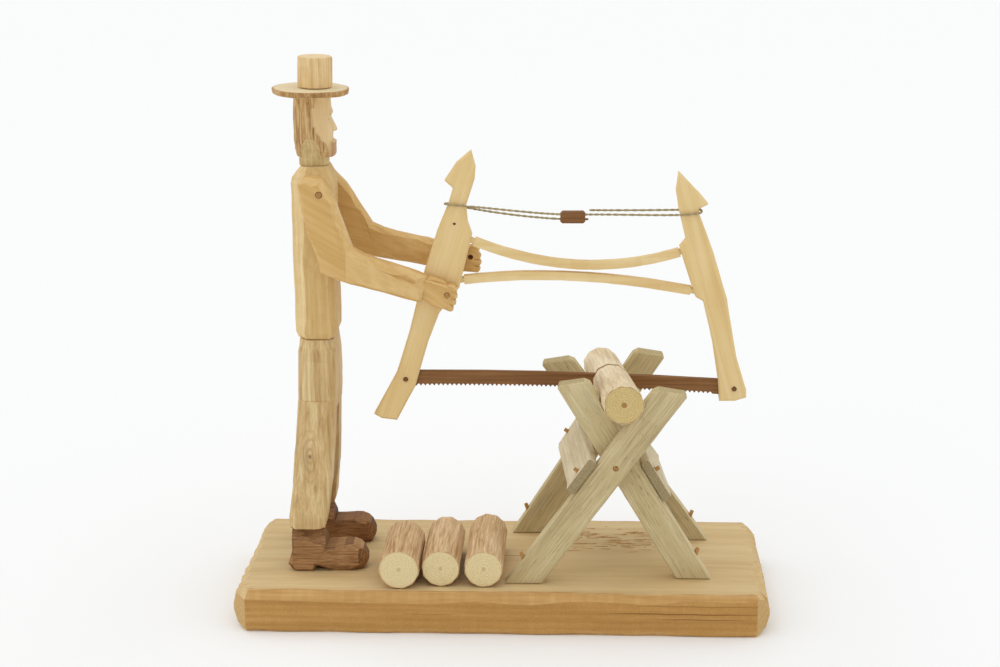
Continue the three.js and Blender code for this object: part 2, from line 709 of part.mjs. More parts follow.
function boardSection(place, pair, y) {
  const { on, along, out } = boardSeat(place, pair);
  const half = place.width / 2;
  const corner = 0.9;
  const thick = sideBoardThickness;
  return [
    [-half, corner], [-half + corner, 0], [half - corner, 0], [half, corner],
    [half, thick - corner], [half - corner, thick], [-half + corner, thick], [-half, thick - corner],
  ].map(([up, away]) => {
    const at = on.clone().addScaledVector(along, up).addScaledVector(out, away);
    return new THREE.Vector3(at.x, y, at.y);
  });
}

function boardPegEnds(place, pair, proud, into) {
  const { on, along, out } = boardSeat(place, pair);
  on.addScaledVector(along, place.pegUp);
  const span = legSpan(pair, place.kind);
  const y = (span[0] + span[1]) / 2;
  const outside = on.clone().addScaledVector(out, sideBoardThickness + proud);
  const inside = on.clone().addScaledVector(out, -into);
  return [new THREE.Vector3(inside.x, y, inside.y), new THREE.Vector3(outside.x, y, outside.y)];
}

const boardPegDepth = 9; // into the leg

function sideBoardPiece(name, place) {
  const front = legSpan(frontPair, place.kind)[0];
  const back = legSpan(rearPair, place.kind)[1];
  const body = loft([
    boardSection(place, frontPair, front - place.overhang),
    boardSection(place, frontPair, front + leg.thickness),
    boardSection(place, rearPair, back - leg.thickness),
    boardSection(place, rearPair, back - 0.6),
  ]);
  const holes = [frontPair, rearPair].map((pair) => {
    const [inside, outside] = boardPegEnds(place, pair, peg.proud + 1, 2);
    return stick(inside, outside, peg.radius + fit);
  });
  return piece(name, cut(body, holes), colours.weathered, 0.85);
}

function legPiece(name, pair, kind) {
  const [front, back] = legSpan(pair, kind);
  const middle = crossingPegPlace(pair);
  const place = kind === 'rising' ? sideBoards.left : sideBoards.right;
  const [inside, outside] = boardPegEnds(place, pair, 0, boardPegDepth + fit);
  const tools = [
    footPegHole(pair, kind),
    stickAlongY(middle.x, middle.z, -90, 90, peg.radius + fit),
    stick(inside, outside, peg.radius + fit),
    logSolid(gap),
  ];
  const body = plate(legOutline(pair[kind]), front, back, leg.bevel);
  return piece(name, cut(body, tools), colours.weathered, 0.85);
}

function footPegPiece(name, pair, kind) {
  const [head, tip] = footPegEnds(pair, kind);
  return piece(name, stick(head, tip, peg.radius), colours.pegWood);
}

function crossingPeg(name, pair) {
  const { x, z, front, back } = crossingPegPlace(pair);
  return piece(name, stickAlongY(x, z, front - crossingPegProud, back, peg.radius), colours.pegWood);
}

function boardPeg(name, place, pair) {
  const [inside, outside] = boardPegEnds(place, pair, peg.proud, boardPegDepth);
  return piece(name, stick(inside, outside, peg.radius), colours.pegWood);
}

// ----------------------------------------------------------------- logs

// The centre of a round log of this radius let into a pair's upper V.
function restCentre(pair, radius) {
  const reach = leg.width / 2 + radius - logBed;
  return linesMeet(pair, reach, -reach);
}

function logRadius(y) {
  const share = (y - sawnLog.frontY) / (sawnLog.backY - sawnLog.frontY);
  return sawnLog.frontRadius + share * (sawnLog.backRadius - sawnLog.frontRadius);
}

function logCentre(y) {
  const frontY = frontPair.outerY + leg.thickness;
  const backY = rearPair.outerY - leg.thickness;
  const front = restCentre(frontPair, logRadius(frontPair.outerY));
  const back = restCentre(rearPair, logRadius(rearPair.outerY - 2 * leg.thickness));
  return front.lerp(back, (y - frontY) / (backY - frontY));
}

function logSolid(grow) {
  const { frontY, backY } = sawnLog;
  const stations = [
    [frontY - grow, 0.6], [frontY + 0.8 - grow, 0], [backY - 0.8 + grow, 0], [backY + grow, 0.6],
  ];
  return loft(stations.map(([y, less]) => roundRing(y, logCentre(y), logRadius(y) + grow - less, 20)));
}

function roundRing(y, centre, radius, sides) {
  return Array.from({ length: sides }, (_, k) => {
    const turn = (2 * Math.PI * k) / sides;
    return new THREE.Vector3(centre.x + radius * Math.cos(turn), y, centre.y + radius * Math.sin(turn));
  });
}

function sawnLogPiece() {
  const centre = logMiddle;
  const half = blade.thickness / 2 + kerf.side;
  const bottom = teethZ - kerf.below;
  const slot = box(centre.x - 30, centre.x + 30, midplane - half, midplane + half, bottom, bottom + 60);
  return piece('sawn_log', cut(logSolid(0), [slot]), colours.bark, 0.85);
}

function cutLog({ name, radius, frontY, length }, x) {
  const centre = new THREE.Vector2(0, 0);
  const stations = [[0, 0.7], [0.9, 0], [length - 0.9, 0], [length, 0.7]];
  const body = loft(stations.map(([y, less]) => roundRing(y, centre, radius - less, 20)));
  const mesh = piece(name, body.rotateY(Math.PI / 20), colours.peeled, 0.85);
  mesh.position.set(x, frontY, boardTop + radius * Math.cos(Math.PI / 20));
  return mesh;
}

function cutLogRow() {
  const group = new THREE.Group();
  let x = frontPair.rising.foot - leg.width / 2 / legLine(frontPair.rising).along.y;
  for (const log of cutLogs) {
    x -= log.space + log.radius;
    group.add(cutLog(log, x));
    x -= log.radius;
  }
  return group;
}

// ------------------------------------------------------------- assembly

const sawyer = new THREE.Group();
sawyer.add(
  baseBoard(),
  bootPiece('near_boot', -1),
  bootPiece('far_boot', 1),
  trousersPiece(),
  hiddenDowel('waist_dowel', waistZ + gap / 2),
  torsoPiece(),
  hiddenDowel('neck_dowel', neckZ - gap / 2),
  headPiece(),
  hat(),
  shoulderDowel(),
  nearArm(),
  farArm(),
  handPeg(),
);

const bowSaw = new THREE.Group();
bowSaw.position.set(wrist.x, midplane, wrist.z);
bowSaw.add(
  leftCheek(),
  rightCheek(),
  stretcherPiece('upper_stretcher', upperBow),
  stretcherPiece('lower_stretcher', lowerBow),
  bladePiece(),
  bladePinPiece('left_blade_pin', bladeLeft),
  bladePinPiece('right_blade_pin', bladeRight),
  cord(),
  togglePiece(),
);

const sawbuck = new THREE.Group();
for (const [end, pair] of [['front', frontPair], ['rear', rearPair]]) {
  for (const kind of ['rising', 'falling']) {
    sawbuck.add(legPiece(`${end}_${kind}_leg`, pair, kind));
    sawbuck.add(footPegPiece(`${end}_${kind}_foot_peg`, pair, kind));
  }
  sawbuck.add(crossingPeg(`${end}_crossing_peg`, pair));
  for (const [side, place] of Object.entries(sideBoards)) {
    sawbuck.add(boardPeg(`${side}_board_${end}_peg`, place, pair));
  }
}
for (const [side, place] of Object.entries(sideBoards)) {
  sawbuck.add(sideBoardPiece(`${side}_side_board`, place));
}

const group = new THREE.Group();
group.add(sawyer, bowSaw, sawbuck, sawnLogPiece(), cutLogRow());

export default group;
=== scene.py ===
"""A hand-carved wooden sawyer on a board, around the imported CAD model."""

import json
import math
import random

import bmesh
import bpy
import numpy as np
from mathutils import Matrix, Vector, noise


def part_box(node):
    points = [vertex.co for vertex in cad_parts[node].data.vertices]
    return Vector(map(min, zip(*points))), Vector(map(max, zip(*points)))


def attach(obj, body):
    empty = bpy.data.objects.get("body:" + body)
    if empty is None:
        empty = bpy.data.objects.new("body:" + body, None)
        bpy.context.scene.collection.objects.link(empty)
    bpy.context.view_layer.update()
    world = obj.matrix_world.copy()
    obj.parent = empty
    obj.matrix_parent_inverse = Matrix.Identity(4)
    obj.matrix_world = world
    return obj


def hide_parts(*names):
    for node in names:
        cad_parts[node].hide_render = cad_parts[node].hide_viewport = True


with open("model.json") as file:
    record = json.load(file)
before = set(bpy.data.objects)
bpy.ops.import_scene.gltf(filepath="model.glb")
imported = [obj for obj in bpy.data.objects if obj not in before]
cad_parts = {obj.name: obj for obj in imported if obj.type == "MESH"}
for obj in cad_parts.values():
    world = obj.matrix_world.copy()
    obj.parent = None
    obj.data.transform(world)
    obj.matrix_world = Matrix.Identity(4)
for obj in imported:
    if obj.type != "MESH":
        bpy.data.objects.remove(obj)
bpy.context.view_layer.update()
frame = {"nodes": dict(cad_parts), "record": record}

MM = 0.001
X = Vector((1, 0, 0))
Y = Vector((0, 1, 0))
Z = Vector((0, 0, 1))


def add_object(name, data):
    made = bpy.data.objects.new(name, data)
    bpy.context.scene.collection.objects.link(made)
    return made


# ---------- camera

CAMERA_PLACE = Vector((0.0494, -1.1103, 0.4671))
CAMERA_YAW = -2.62
CAMERA_DOWN = 15.4
CAMERA_ROLL = -0.37
LENS = 72
SENSOR = 36


def make_camera():
    data = bpy.data.cameras.new("camera")
    data.lens = LENS
    data.sensor_width = SENSOR
    data.clip_end = 100
    camera = add_object("camera", data)
    camera.matrix_world = Matrix.Translation(CAMERA_PLACE)
    for angle, axis in ((-CAMERA_YAW, "Z"), (90 - CAMERA_DOWN, "X"), (CAMERA_ROLL, "Z")):
        camera.matrix_world @= Matrix.Rotation(math.radians(angle), 4, axis)
    bpy.context.scene.camera = camera


# ---------- materials


def linear(code):
    """A '#rrggbb' colour as the shader's linear one."""
    parts = [int(code[k:k + 2], 16) / 255 for k in (1, 3, 5)]
    return [c / 12.92 if c <= 0.04045 else ((c + 0.055) / 1.055) ** 2.4 for c in parts] + [1]


class Shader:
    """A node material with its Principled shader, and short ways to add nodes."""

    def __init__(self, name, roughness, specular=0.3):
        self.material = bpy.data.materials.new(name)
        self.material.use_nodes = True
        self.tree = self.material.node_tree
        self.surface = self.tree.nodes["Principled BSDF"]
        self.surface.inputs["Roughness"].default_value = roughness
        self.surface.inputs["Specular IOR Level"].default_value = specular

    def link(self, value, socket):
        if isinstance(value, bpy.types.NodeSocket):
            self.tree.links.new(value, socket)
        else:
            socket.default_value = value

    def node(self, kind, inputs=(), **settings):
        made = self.tree.nodes.new(kind)
        for key, value in settings.items():
            setattr(made, key, value)
        for key, value in dict(inputs).items():
            self.link(value, made.inputs[key])
        return made

    def attribute(self, name, output="Vector"):
        return self.node("ShaderNodeAttribute", attribute_name=name).outputs[output]

    def here(self):
        return self.node("ShaderNodeTexCoord").outputs["Object"]

    def math(self, operation, *values, clamp=False):
        made = self.node("ShaderNodeMath", operation=operation, use_clamp=clamp)
        for socket, value in zip(made.inputs, values):
            self.link(value, socket)
        return made.outputs[0]

    def vector(self, operation, *values):
        made = self.node("ShaderNodeVectorMath", operation=operation)
        for socket, value in zip(made.inputs, values):
            self.link(value, socket)
        return made.outputs["Value" if operation == "LENGTH" else "Vector"]

    def noise(self, vector, scale, detail=3, roughness=0.5, output="Fac"):
        """Noise with its own scale, per metre, along each axis."""
        stretched = self.vector("MULTIPLY", vector, scale)
        inputs = {"Vector": stretched, "Scale": 1, "Detail": detail, "Roughness": roughness}
        return self.node("ShaderNodeTexNoise", inputs).outputs[output]

    def between(self, value, low, high):
        """0 below low, 1 above high."""
        inputs = {"Value": value, "From Min": low, "From Max": high}
        return self.node("ShaderNodeMapRange", inputs, interpolation_type="SMOOTHSTEP").outputs["Result"]

    def below(self, value, low, high):
        """1 below low, 0 above high."""
        return self.math("SUBTRACT", 1, self.between(value, low, high))

    def swing(self, value, weight, base, clamp=False):
        """A base plus the weighted swing of a value about 0.5."""
        return self.math("MULTIPLY_ADD", self.math("SUBTRACT", value, 0.5), weight, base, clamp=clamp)

    def mix(self, amount, first, second):
        made = self.node("ShaderNodeMix", data_type="RGBA", blend_type="MIX")
        self.link(amount, made.inputs["Factor"])
        self.link(first, made.inputs["A"])
        self.link(second, made.inputs["B"])
        return made.outputs["Result"]

    def tint(self, colour, amount, strength, code):
        """The colour with a share of another one over it."""
        return self.mix(self.math("MULTIPLY", amount, strength), colour, linear(code))

    def ramp(self, value, stops):
        made = self.node("ShaderNodeValToRGB", {"Fac": value})
        elements = made.color_ramp.elements
        for k, (place, colour) in enumerate(stops):
            element = elements[k] if k < 2 else elements.new(place)
            element.position = place
            element.color = linear(colour)
        return made.outputs["Color"]

    def shades(self, value, shades):
        dark, middle, light = shades.split()
        return self.ramp(value, [(0.0, dark), (1.0, light), (0.5, middle)])

    def finish(self, colour, height, relief):
        """The material with its colour, and with the relief of a height as a bump."""
        bump = self.node("ShaderNodeBump", {"Height": height, "Distance": relief * MM, "Strength": 1.0})
        self.link(colour, self.surface.inputs["Base Color"])
        self.link(bump.outputs["Normal"], self.surface.inputs["Normal"])
        return self.material


def wood(
    name, shades, ends="#c79c62 #ead6a8", ring=2.2, rings=0.3, streak=(60, 2.2), streaks=0.5,
    fibre=(14, 0.4), fibres=0.3, cloud=(60, 16), clouds=0.4, facets=0.12, wander=1.2, roughness=0.62,
    relief=0.12, flecks=0.0, fleck_colour="#6d4a26", smudges=0.0, smudge_colour="#8b8778",
    rim=0.0, rim_colour="#b0763c", pith=0.5, heart=1.5, end_rings=0.2, knot=None, cracks=(), overlays=(),
):
    """Cut wood. The grain attribute runs along the tree in x, with its pith at y = z = 0.
    shades are its dark, middle and light colours, ends the dark and light ones of a sawn end.
    ring is the width of a year's ring; streak, fibre and cloud are lengths and widths; all in mm.
    rim is the radius from the pith at which a sawn end darkens towards the bark; pith is how dark
    the middle of the end is, out to the heart's radius."""
    s = Shader(name, roughness)
    grain = s.attribute("grain")
    wave = s.noise(grain, (9, 38, 38), 2, output="Color")
    centred = s.vector("ADD", wave, (-0.5, -0.5, -0.5))
    bent = s.vector("ADD", grain, s.vector("MULTIPLY", centred, (0, 2 * wander * MM, 2 * wander * MM)))
    year = s.node(
        "ShaderNodeTexWave", {"Vector": bent, "Scale": 2 * math.pi / (20 * ring * MM), "Distortion": 0.0},
        wave_type="RINGS", rings_direction="X", wave_profile="SIN",
    ).outputs["Fac"]
    value = s.swing(year, rings, 0.5)
    layers = []
    for (length, width), weight, detail in ((fibre, fibres, 3), (streak, streaks, 3), (cloud, clouds, 2)):
        layers.append(s.noise(bent, (1000 / length, 1000 / width, 1000 / width), detail, 0.55))
        value = s.swing(layers[-1], weight * 2, value)
    value = s.math("MULTIPLY_ADD", s.attribute("tone", "Fac"), facets, value, clamp=True)
    colour = s.shades(value, shades)
    if smudges:
        patch = s.noise(grain, (22, 90, 90), 4, 0.6)
        colour = s.tint(colour, s.between(patch, 0.55, 0.7), smudges, smudge_colour)
    if flecks:
        dash = s.noise(bent, (160, 1300, 1300), 1)
        colour = s.tint(colour, s.between(dash, 0.66, 0.76), flecks, fleck_colour)
    if knot:
        colour = add_knot(s, colour, *knot)
    for crack in cracks:
        colour = add_crack(s, colour, *crack)
    for where, over_shades in overlays:
        strands = s.noise(bent, (70, 1000, 1000), 3, 0.6)
        over = s.shades(s.swing(strands, 2.4, value, clamp=True), over_shades)
        colour = s.mix(s.attribute(where, "Fac"), colour, over)
    pores = s.noise(grain, (1300, 1500, 1500), 4, 0.75)
    end_dark, end_light = ends.split()
    end_colour = s.ramp(s.swing(year, end_rings, pores), [(0.28, end_dark), (0.68, end_light)])
    if rim:
        away = s.vector("LENGTH", s.vector("MULTIPLY", grain, (0, 1, 1)))
        ragged = s.math("MULTIPLY_ADD", pores, 0.9 * MM, away)
        at_rim = s.between(ragged, (rim - 0.5) * MM, (rim + 0.5) * MM)
        end_colour = s.mix(at_rim, end_colour, linear(rim_colour))
        core = s.below(ragged, (heart - 0.3) * MM, (heart + 0.5) * MM)
        end_colour = s.tint(end_colour, core, pith, "#9c6a38")
    across = s.attribute("end", "Fac")
    colour = s.mix(across, colour, end_colour)
    height = s.math("MULTIPLY_ADD", year, 0.25, layers[0])
    height = s.math("MULTIPLY_ADD", across, s.math("SUBTRACT", pores, height), height)
    return s.finish(colour, height, relief)


def add_knot(s, colour, place, radius, reach, line, heart):
    """A branch's knot at a place in metres, with the grain's pointed ovals round it."""
    here = s.here()
    off = s.vector("ADD", here, -place)
    wobble = s.noise(here, (260, 260, 90), 2)
    away = s.swing(wobble, 2.2 * MM, s.vector("LENGTH", s.vector("MULTIPLY", off, (1, 0.5, 0.36))))
    ovals = s.math("SINE", s.math("MULTIPLY", away, 2 * math.pi / (1.7 * MM)))
    drawn = s.math("MULTIPLY", s.between(ovals, -0.2, 0.9), s.below(away, 0.35 * reach, reach))
    colour = s.tint(colour, drawn, 0.5, line)
    near = s.vector("LENGTH", s.vector("MULTIPLY", off, (1, 0.4, 0.8)))
    return s.tint(colour, s.below(near, 0.4 * radius, radius), 0.85, heart)


def add_crack(s, colour, axis, at, low, high, width, line):
    """A dark drying crack along X from low to high, at a place on another axis, in mm."""
    here = s.here()
    parts = s.node("ShaderNodeSeparateXYZ", {0: here}).outputs
    wander = s.noise(here, (30, 0, 0), 4)
    off = s.math("ABSOLUTE", s.swing(wander, 2.4 * MM, s.math("SUBTRACT", parts[axis], at * MM)))
    middle, half = (low + high) / 2 * MM, (high - low) / 2 * MM
    along = s.math("DIVIDE", s.math("ABSOLUTE", s.math("SUBTRACT", parts["X"], middle)), half)
    taper = s.math("MULTIPLY", s.math("SUBTRACT", 1, along, clamp=True), 1.6, clamp=True)
    dark = s.math("SUBTRACT", taper, s.math("DIVIDE", off, width * MM), clamp=True)
    return s.mix(s.between(dark, 0.0, 0.5), colour, linear(line))


KNOT = Vector((-110.6, -20, 92.7)) * MM
WHITTLED = dict(ring=3.2, rings=0.06, streak=(80, 2.6), streaks=0.34, fibres=0.22, clouds=0.3)
LEATHER = dict(
    ring=1.9, rings=0.12, streak=(26, 0.9), streaks=0.6, fibre=(7, 0.45), fibres=0.6, facets=0.22,
    relief=0.3, roughness=0.65,
)
WEATHERED = dict(ring=2.6, relief=0.25, roughness=0.8)
EDGE = dict(ring=3.4, rings=0.16, end_rings=0.06, clouds=0.35)
WOODS = {
    "pale_wood": dict(shades="#b98e51 #d3b174 #e8cf9b", flecks=0.2, **WHITTLED),
    "arm_wood": dict(shades="#b5884a #d2aa69 #e6c78c", **WHITTLED),
    "saw_wood": dict(
        shades="#d3ac6c #e5c88d #f3dfb2", ring=5, rings=0.1, streak=(90, 3.2), streaks=0.28, fibres=0.16,
        clouds=0.3, facets=0.06,
    ),
    "face_wood": dict(
        shades="#caa671 #dfc08d #f0dbae", streak=(50, 2.4), streaks=0.3, fibres=0.2, rings=0.05,
        overlays=(("hair", "#8f6538 #c39d67 #e3c590"), ("beard", "#7d5230 #b3875b #cda678"),
                  ("nape", "#b69a63 #cdb37c #dcc593")),
    ),
    "hat_wood": dict(
        shades="#b98e53 #dcba82 #f2dbad", ends="#d6b077 #f6e5bd", ring=1.4, rings=0.12, streak=(40, 1.1),
        streaks=0.5, fibre=(16, 0.35), fibres=0.4,
    ),
    "brim_wood": dict(
        shades="#8f6537 #b88f59 #dcb67e", ends="#d9bd89 #f6ebc9", ring=1.25, end_rings=0.3, streak=(4, 2),
        streaks=0.7, fibre=(2, 0.8), fibres=0.7, rings=0.1, relief=0.3, rim=21.2, rim_colour="#b58c56",
        smudges=0.25, smudge_colour="#a9a79c",
    ),
    "board_wood": dict(
        shades="#bc9c68 #d3b886 #e4d0a3", ends="#c3a36c #e2cf9f", ring=8, rings=0.12, streak=(120, 4),
        streaks=0.3, fibre=(16, 0.6), fibres=0.18, cloud=(120, 26), clouds=0.35, wander=3,
        cracks=(("Y", -1, -28, 44, 0.4, "#92703f"),),
    ),
    "board_bevel": dict(
        shades="#ad8044 #c3985a #d6b079", ends="#c3a068 #e0c998", streak=(90, 1.6), streaks=0.3,
        fibre=(9, 1.0), fibres=0.2, cloud=(60, 9), facets=0.3, **EDGE,
    ),
    "board_side": dict(
        shades="#a07236 #b98b4a #cda463", ends="#b58e55 #d5b67c", streak=(120, 1.6), streaks=0.28,
        fibre=(0.55, 1.6), fibres=0.34, cloud=(90, 9), wander=2.2, flecks=0.15, **EDGE,
        cracks=(("Z", 13.8, 40, 166, 0.5, "#8d5f2b"), ("Z", 10.6, 78, 148, 0.45, "#976a35"),
                ("Z", 18.5, 60, 168, 0.4, "#a17238"), ("Z", 12, -60, -20, 0.3, "#a17238")),
    ),
    "torn_wood": dict(shades="#ab7e49 #c69c66 #dfbf90", streak=(10, 1), streaks=0.6, flecks=0.3),
    "trouser_wood": dict(
        shades="#a37c4b #cfb07a #e9d7a9", ring=1.6, rings=0.0, streak=(90, 1.7), streaks=0.55,
        cloud=(90, 5), clouds=0.5, smudges=0.4, smudge_colour="#ab9a78",
        knot=(KNOT, 2.0 * MM, 8 * MM, "#b1875a", "#5f4126"),
    ),
    "boot_wood": dict(shades="#5f3e23 #9a7046 #c29a6a", ends="#5f3f23 #9c7249", **LEATHER),
    # A darker copy of the boot wood for the far boot: painted shade.
    "far_boot_painted_shade_wood": dict(shades="#4a2c17 #79502d #a2764a", ends="#472a15 #79512f", **LEATHER),
    "blade_wood": dict(
        shades="#633b1d #82582f #9a6f44", ends="#603a1c #85592f", ring=2.0, rings=0.08, streak=(50, 1.2),
        streaks=0.5, facets=0.04,
    ),
    "weathered_wood": dict(
        shades="#9a875f #c6b386 #ddd1aa", ends="#9a875f #c9b98c", rings=0.0, streak=(60, 0.9),
        streaks=0.42, fibre=(12, 0.4), fibres=0.5, end_rings=0.05, flecks=0.5, fleck_colour="#66543a",
        smudges=0.35, smudge_colour="#a39a80", **WEATHERED,
    ),
    "board_grey": dict(
        shades="#b5a27d #d2c3a0 #e9dfc3", ends="#7d6a48 #b3a27a", rings=0.1, end_rings=0.04,
        streak=(70, 1.4), streaks=0.5, fibre=(14, 0.45), fibres=0.4, flecks=0.4, fleck_colour="#7a6646",
        smudges=0.25, **WEATHERED,
    ),
    "peeled_wood": dict(
        shades="#a2774b #d0ad80 #ead3ae", ends="#d3b77e #f0e2b4", ring=1.6, rings=0.0, streak=(24, 1.5),
        streaks=0.85, fibre=(9, 0.6), fibres=0.45, relief=0.3, roughness=0.78, end_rings=0.07, rim=11.0,
        rim_colour="#b98a56", pith=0.35,
    ),
    "bark": dict(
        shades="#bfa47c #e3d0ad #f4e9d0", ends="#b99858 #e2cd93", ring=1.6, rings=0.0, streak=(24, 2.2),
        streaks=0.6, fibre=(8, 0.8), fibres=0.4, relief=0.25, roughness=0.8, smudges=0.45,
        smudge_colour="#96866c", end_rings=0.06, rim=11.2, rim_colour="#b08a5c", pith=0.8, heart=2.0,
    ),
    "peg_wood": dict(
        shades="#8f6432 #b98a4f #d9b277", ends="#8a5f30 #bd8f57", ring=0.8, rings=0.1, streak=(9, 0.8)
    ),
}


def twine():
    s = Shader("cord_fibre", 0.85)
    fibre = s.noise(s.attribute("grain"), (500, 3000, 3000), 3)
    return s.finish(s.ramp(fibre, [(0.3, "#80704a"), (0.7, "#c2b288")]), fibre, 0.15)


MATERIALS = {name: wood(name, **look) for name, look in WOODS.items()}
MATERIALS["cord_fibre"] = twine()


# ---------- mesh and grain

BODY_OF = {n: body for body, nodes in frame["record"]["behaviour"]["bodies"].items() for n in nodes}


def box_mm(node):
    """A node's lowest and highest corners at rest, in mm."""
    return [[c / MM for c in corner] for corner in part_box(node)]


def middle_of(node):
    return sum(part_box(node), Vector()) / 2


def mesh_points(node):
    data = frame["nodes"][node].data
    co = np.zeros(len(data.vertices) * 3)
    data.vertices.foreach_get("co", co)
    return co.reshape(-1, 3)


def long_axis(node):
    """The direction a node is longest in, pointing right or up."""
    points = mesh_points(node)
    values, vectors = np.linalg.eigh(np.cov((points - points.mean(0)).T))
    axis = Vector(vectors[:, int(values.argmax())])
    return -axis if axis.x + axis.z + 0.5 * axis.y < 0 else axis


def across(along):
    """Two directions square to one."""
    side = along.cross(Y if abs(along.y) < 0.7 else Z).normalized()
    return side, along.cross(side)


def straight_flow(along, centre, pith, start):
    """Grain coordinates of a straight-grained piece. The pith stands off from the centre, in mm."""
    side, depth = across(along)

    def flow(p):
        rel = p - centre
        return Vector((rel.dot(along) + start, rel.dot(side) + pith[0] * MM, rel.dot(depth) + pith[1] * MM))

    return flow


def to_mesh(bm):
    mesh = bpy.data.meshes.new("mesh")
    bmesh.ops.recalc_face_normals(bm, faces=bm.faces)
    bm.to_mesh(mesh)
    bm.free()
    return mesh


def write(mesh, name, values, domain="FACE"):
    """Keeps a number for each face or point."""
    mesh.attributes.new(name, "FLOAT", domain).data.foreach_set("value", values)


def finish_piece(
    mesh, node, material, flow, along, seed, tone=1.0, smooth=None, lighten=None, kind="carved"
):
    """Writes the grain coordinates, the sawn ends and each facet's own tone, with lighten's added,
    and puts the mesh in the scene as the piece that stands for its CAD node."""
    rng = seed if isinstance(seed, random.Random) else random.Random(seed)
    grain = mesh.attributes.new("grain", "FLOAT_VECTOR", "POINT")
    grain.data.foreach_set("vector", [c for v in mesh.vertices for c in flow(v.co)])
    write(mesh, "end", [1.0 if abs(f.normal.dot(along)) > 0.8 else 0.0 for f in mesh.polygons])
    extra = [lighten(f) if lighten else 0.0 for f in mesh.polygons]
    write(mesh, "tone", [tone * rng.uniform(-1, 1) + more for more in extra])
    if smooth is not None:
        mesh.polygons.foreach_set("use_smooth", [True] * len(mesh.polygons))
        mesh.set_sharp_from_angle(angle=math.radians(smooth))
    mesh.materials.append(MATERIALS[material])
    piece = add_object(f"{node}_{kind}", mesh)
    mesh.name = piece.name
    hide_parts(node)
    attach(piece, BODY_OF[node])
    return piece


def add_material(piece, name, chosen):
    """Gives the faces that chosen picks another wood."""
    piece.data.materials.append(MATERIALS[name])
    index = len(piece.data.materials) - 1
    for face in piece.data.polygons:
        if chosen(face):
            face.material_index = index


# ---------- CAD copies


def clean_copy(node):
    """The node's mesh with its triangles joined into flat faces."""
    bm = bmesh.new()
    bm.from_mesh(frame["nodes"][node].data)
    bmesh.ops.remove_doubles(bm, verts=bm.verts, dist=0.01 * MM)
    bmesh.ops.dissolve_limit(bm, angle_limit=math.radians(1.5), verts=bm.verts, edges=bm.edges)
    return bm


def bisect(bm, place, normal, dist=0.01, **more):
    """Cuts the faces along a plane, at a place in metres."""
    parts = bm.verts[:] + bm.edges[:] + bm.faces[:]
    return bmesh.ops.bisect_plane(bm, geom=parts, plane_co=place, plane_no=normal, dist=dist * MM, **more)


def slice_across(bm, along, step, rng):
    """Cuts the faces across at uneven steps, so that a long edge can be knifed unevenly."""
    reach = [v.co.dot(along) for v in bm.verts]
    at = min(reach) + step * rng.uniform(0.4, 1.0)
    while at < max(reach) - 0.4 * step:
        lean = Vector([rng.uniform(-0.2, 0.2) for _ in range(3)])
        bisect(bm, along * at, (along + lean).normalized(), dist=0.1)
        at += step * rng.uniform(0.6, 1.4)


def knife(bm, depth, rng):
    """Moves each point in by up to depth, so that every face becomes its own knife cut."""
    bm.normal_update()
    for v in bm.verts:
        v.co -= v.normal * depth * rng.random()


def carve(node, material, step=14, depth=0.22, along=None, pith=(40, 30), tone=1.0, lighten=None):
    """A piece carved over its CAD node: the same solid with uneven knife cuts."""
    rng = random.Random(node)
    along = along or long_axis(node)
    bm = clean_copy(node)
    slice_across(bm, along, step * MM, rng)
    knife(bm, depth * MM, rng)
    flow = straight_flow(along, middle_of(node), pith, rng.uniform(0, 0.5))
    finish_piece(to_mesh(bm), node, material, flow, along, rng, tone, lighten=lighten)


# ---------- shaping helpers


def angles(count, phase=0.0):
    """Equal turns round a circle, in radians."""
    return [2 * math.pi * (k + phase) / count for k in range(count)]


def uneven_angles(rng, count, amount):
    return [2 * math.pi * (k + rng.uniform(-amount, amount)) / count for k in range(count)]


def circle(middle, side, over, radius, turns):
    return [middle + (side * math.cos(t) + over * math.sin(t)) * radius for t in turns]


def loft(rings, bm=None):
    """A closed solid through matching rings of points, in mm."""
    bm = bm or bmesh.new()
    verts = [[bm.verts.new(Vector(p) * MM) for p in ring] for ring in rings]
    count = len(rings[0])
    for low, high in zip(verts, verts[1:]):
        for k in range(count):
            n = (k + 1) % count
            bm.faces.new((low[k], low[n], high[n], high[k]))
    bm.faces.new(list(reversed(verts[0])))
    bm.faces.new(verts[-1])
    return bm


def boolean(mesh, tools, operation):
    """The mesh with tool meshes taken away or added."""
    base = add_object("working", mesh)
    helpers = [add_object("tool", tool) for tool in tools]
    for helper in helpers:
        modifier = base.modifiers.new("boolean", "BOOLEAN")
        modifier.operation = operation
        modifier.solver = "EXACT"
        modifier.object = helper
    bpy.context.view_layer.update()
    done = bpy.data.meshes.new_from_object(base.evaluated_get(bpy.context.evaluated_depsgraph_get()))
    for made in [base] + helpers:
        bpy.data.objects.remove(made)
    return done


def stick(start, stop, radius):
    """A round rod between two points, in mm, as a mesh."""
    start, stop = Vector(start), Vector(stop)
    side, over = across((stop - start).normalized())
    return to_mesh(loft([circle(end, side, over, radius, angles(20)) for end in (start, stop)]))


def stretch(here, there, parts):
    """Even steps from one point to just short of another."""
    return [tuple(a + (b - a) * (k / parts) for a, b in zip(here, there)) for k in range(parts)]


def resample(outline, step):
    """The closed outline with no stretch longer than step."""
    points = []
    for here, there in zip(outline, outline[1:] + outline[:1]):
        here, there = Vector(here), Vector(there)
        parts = max(1, round((there - here).length / step))
        points += [here.lerp(there, k / parts) for k in range(parts)]
    return points


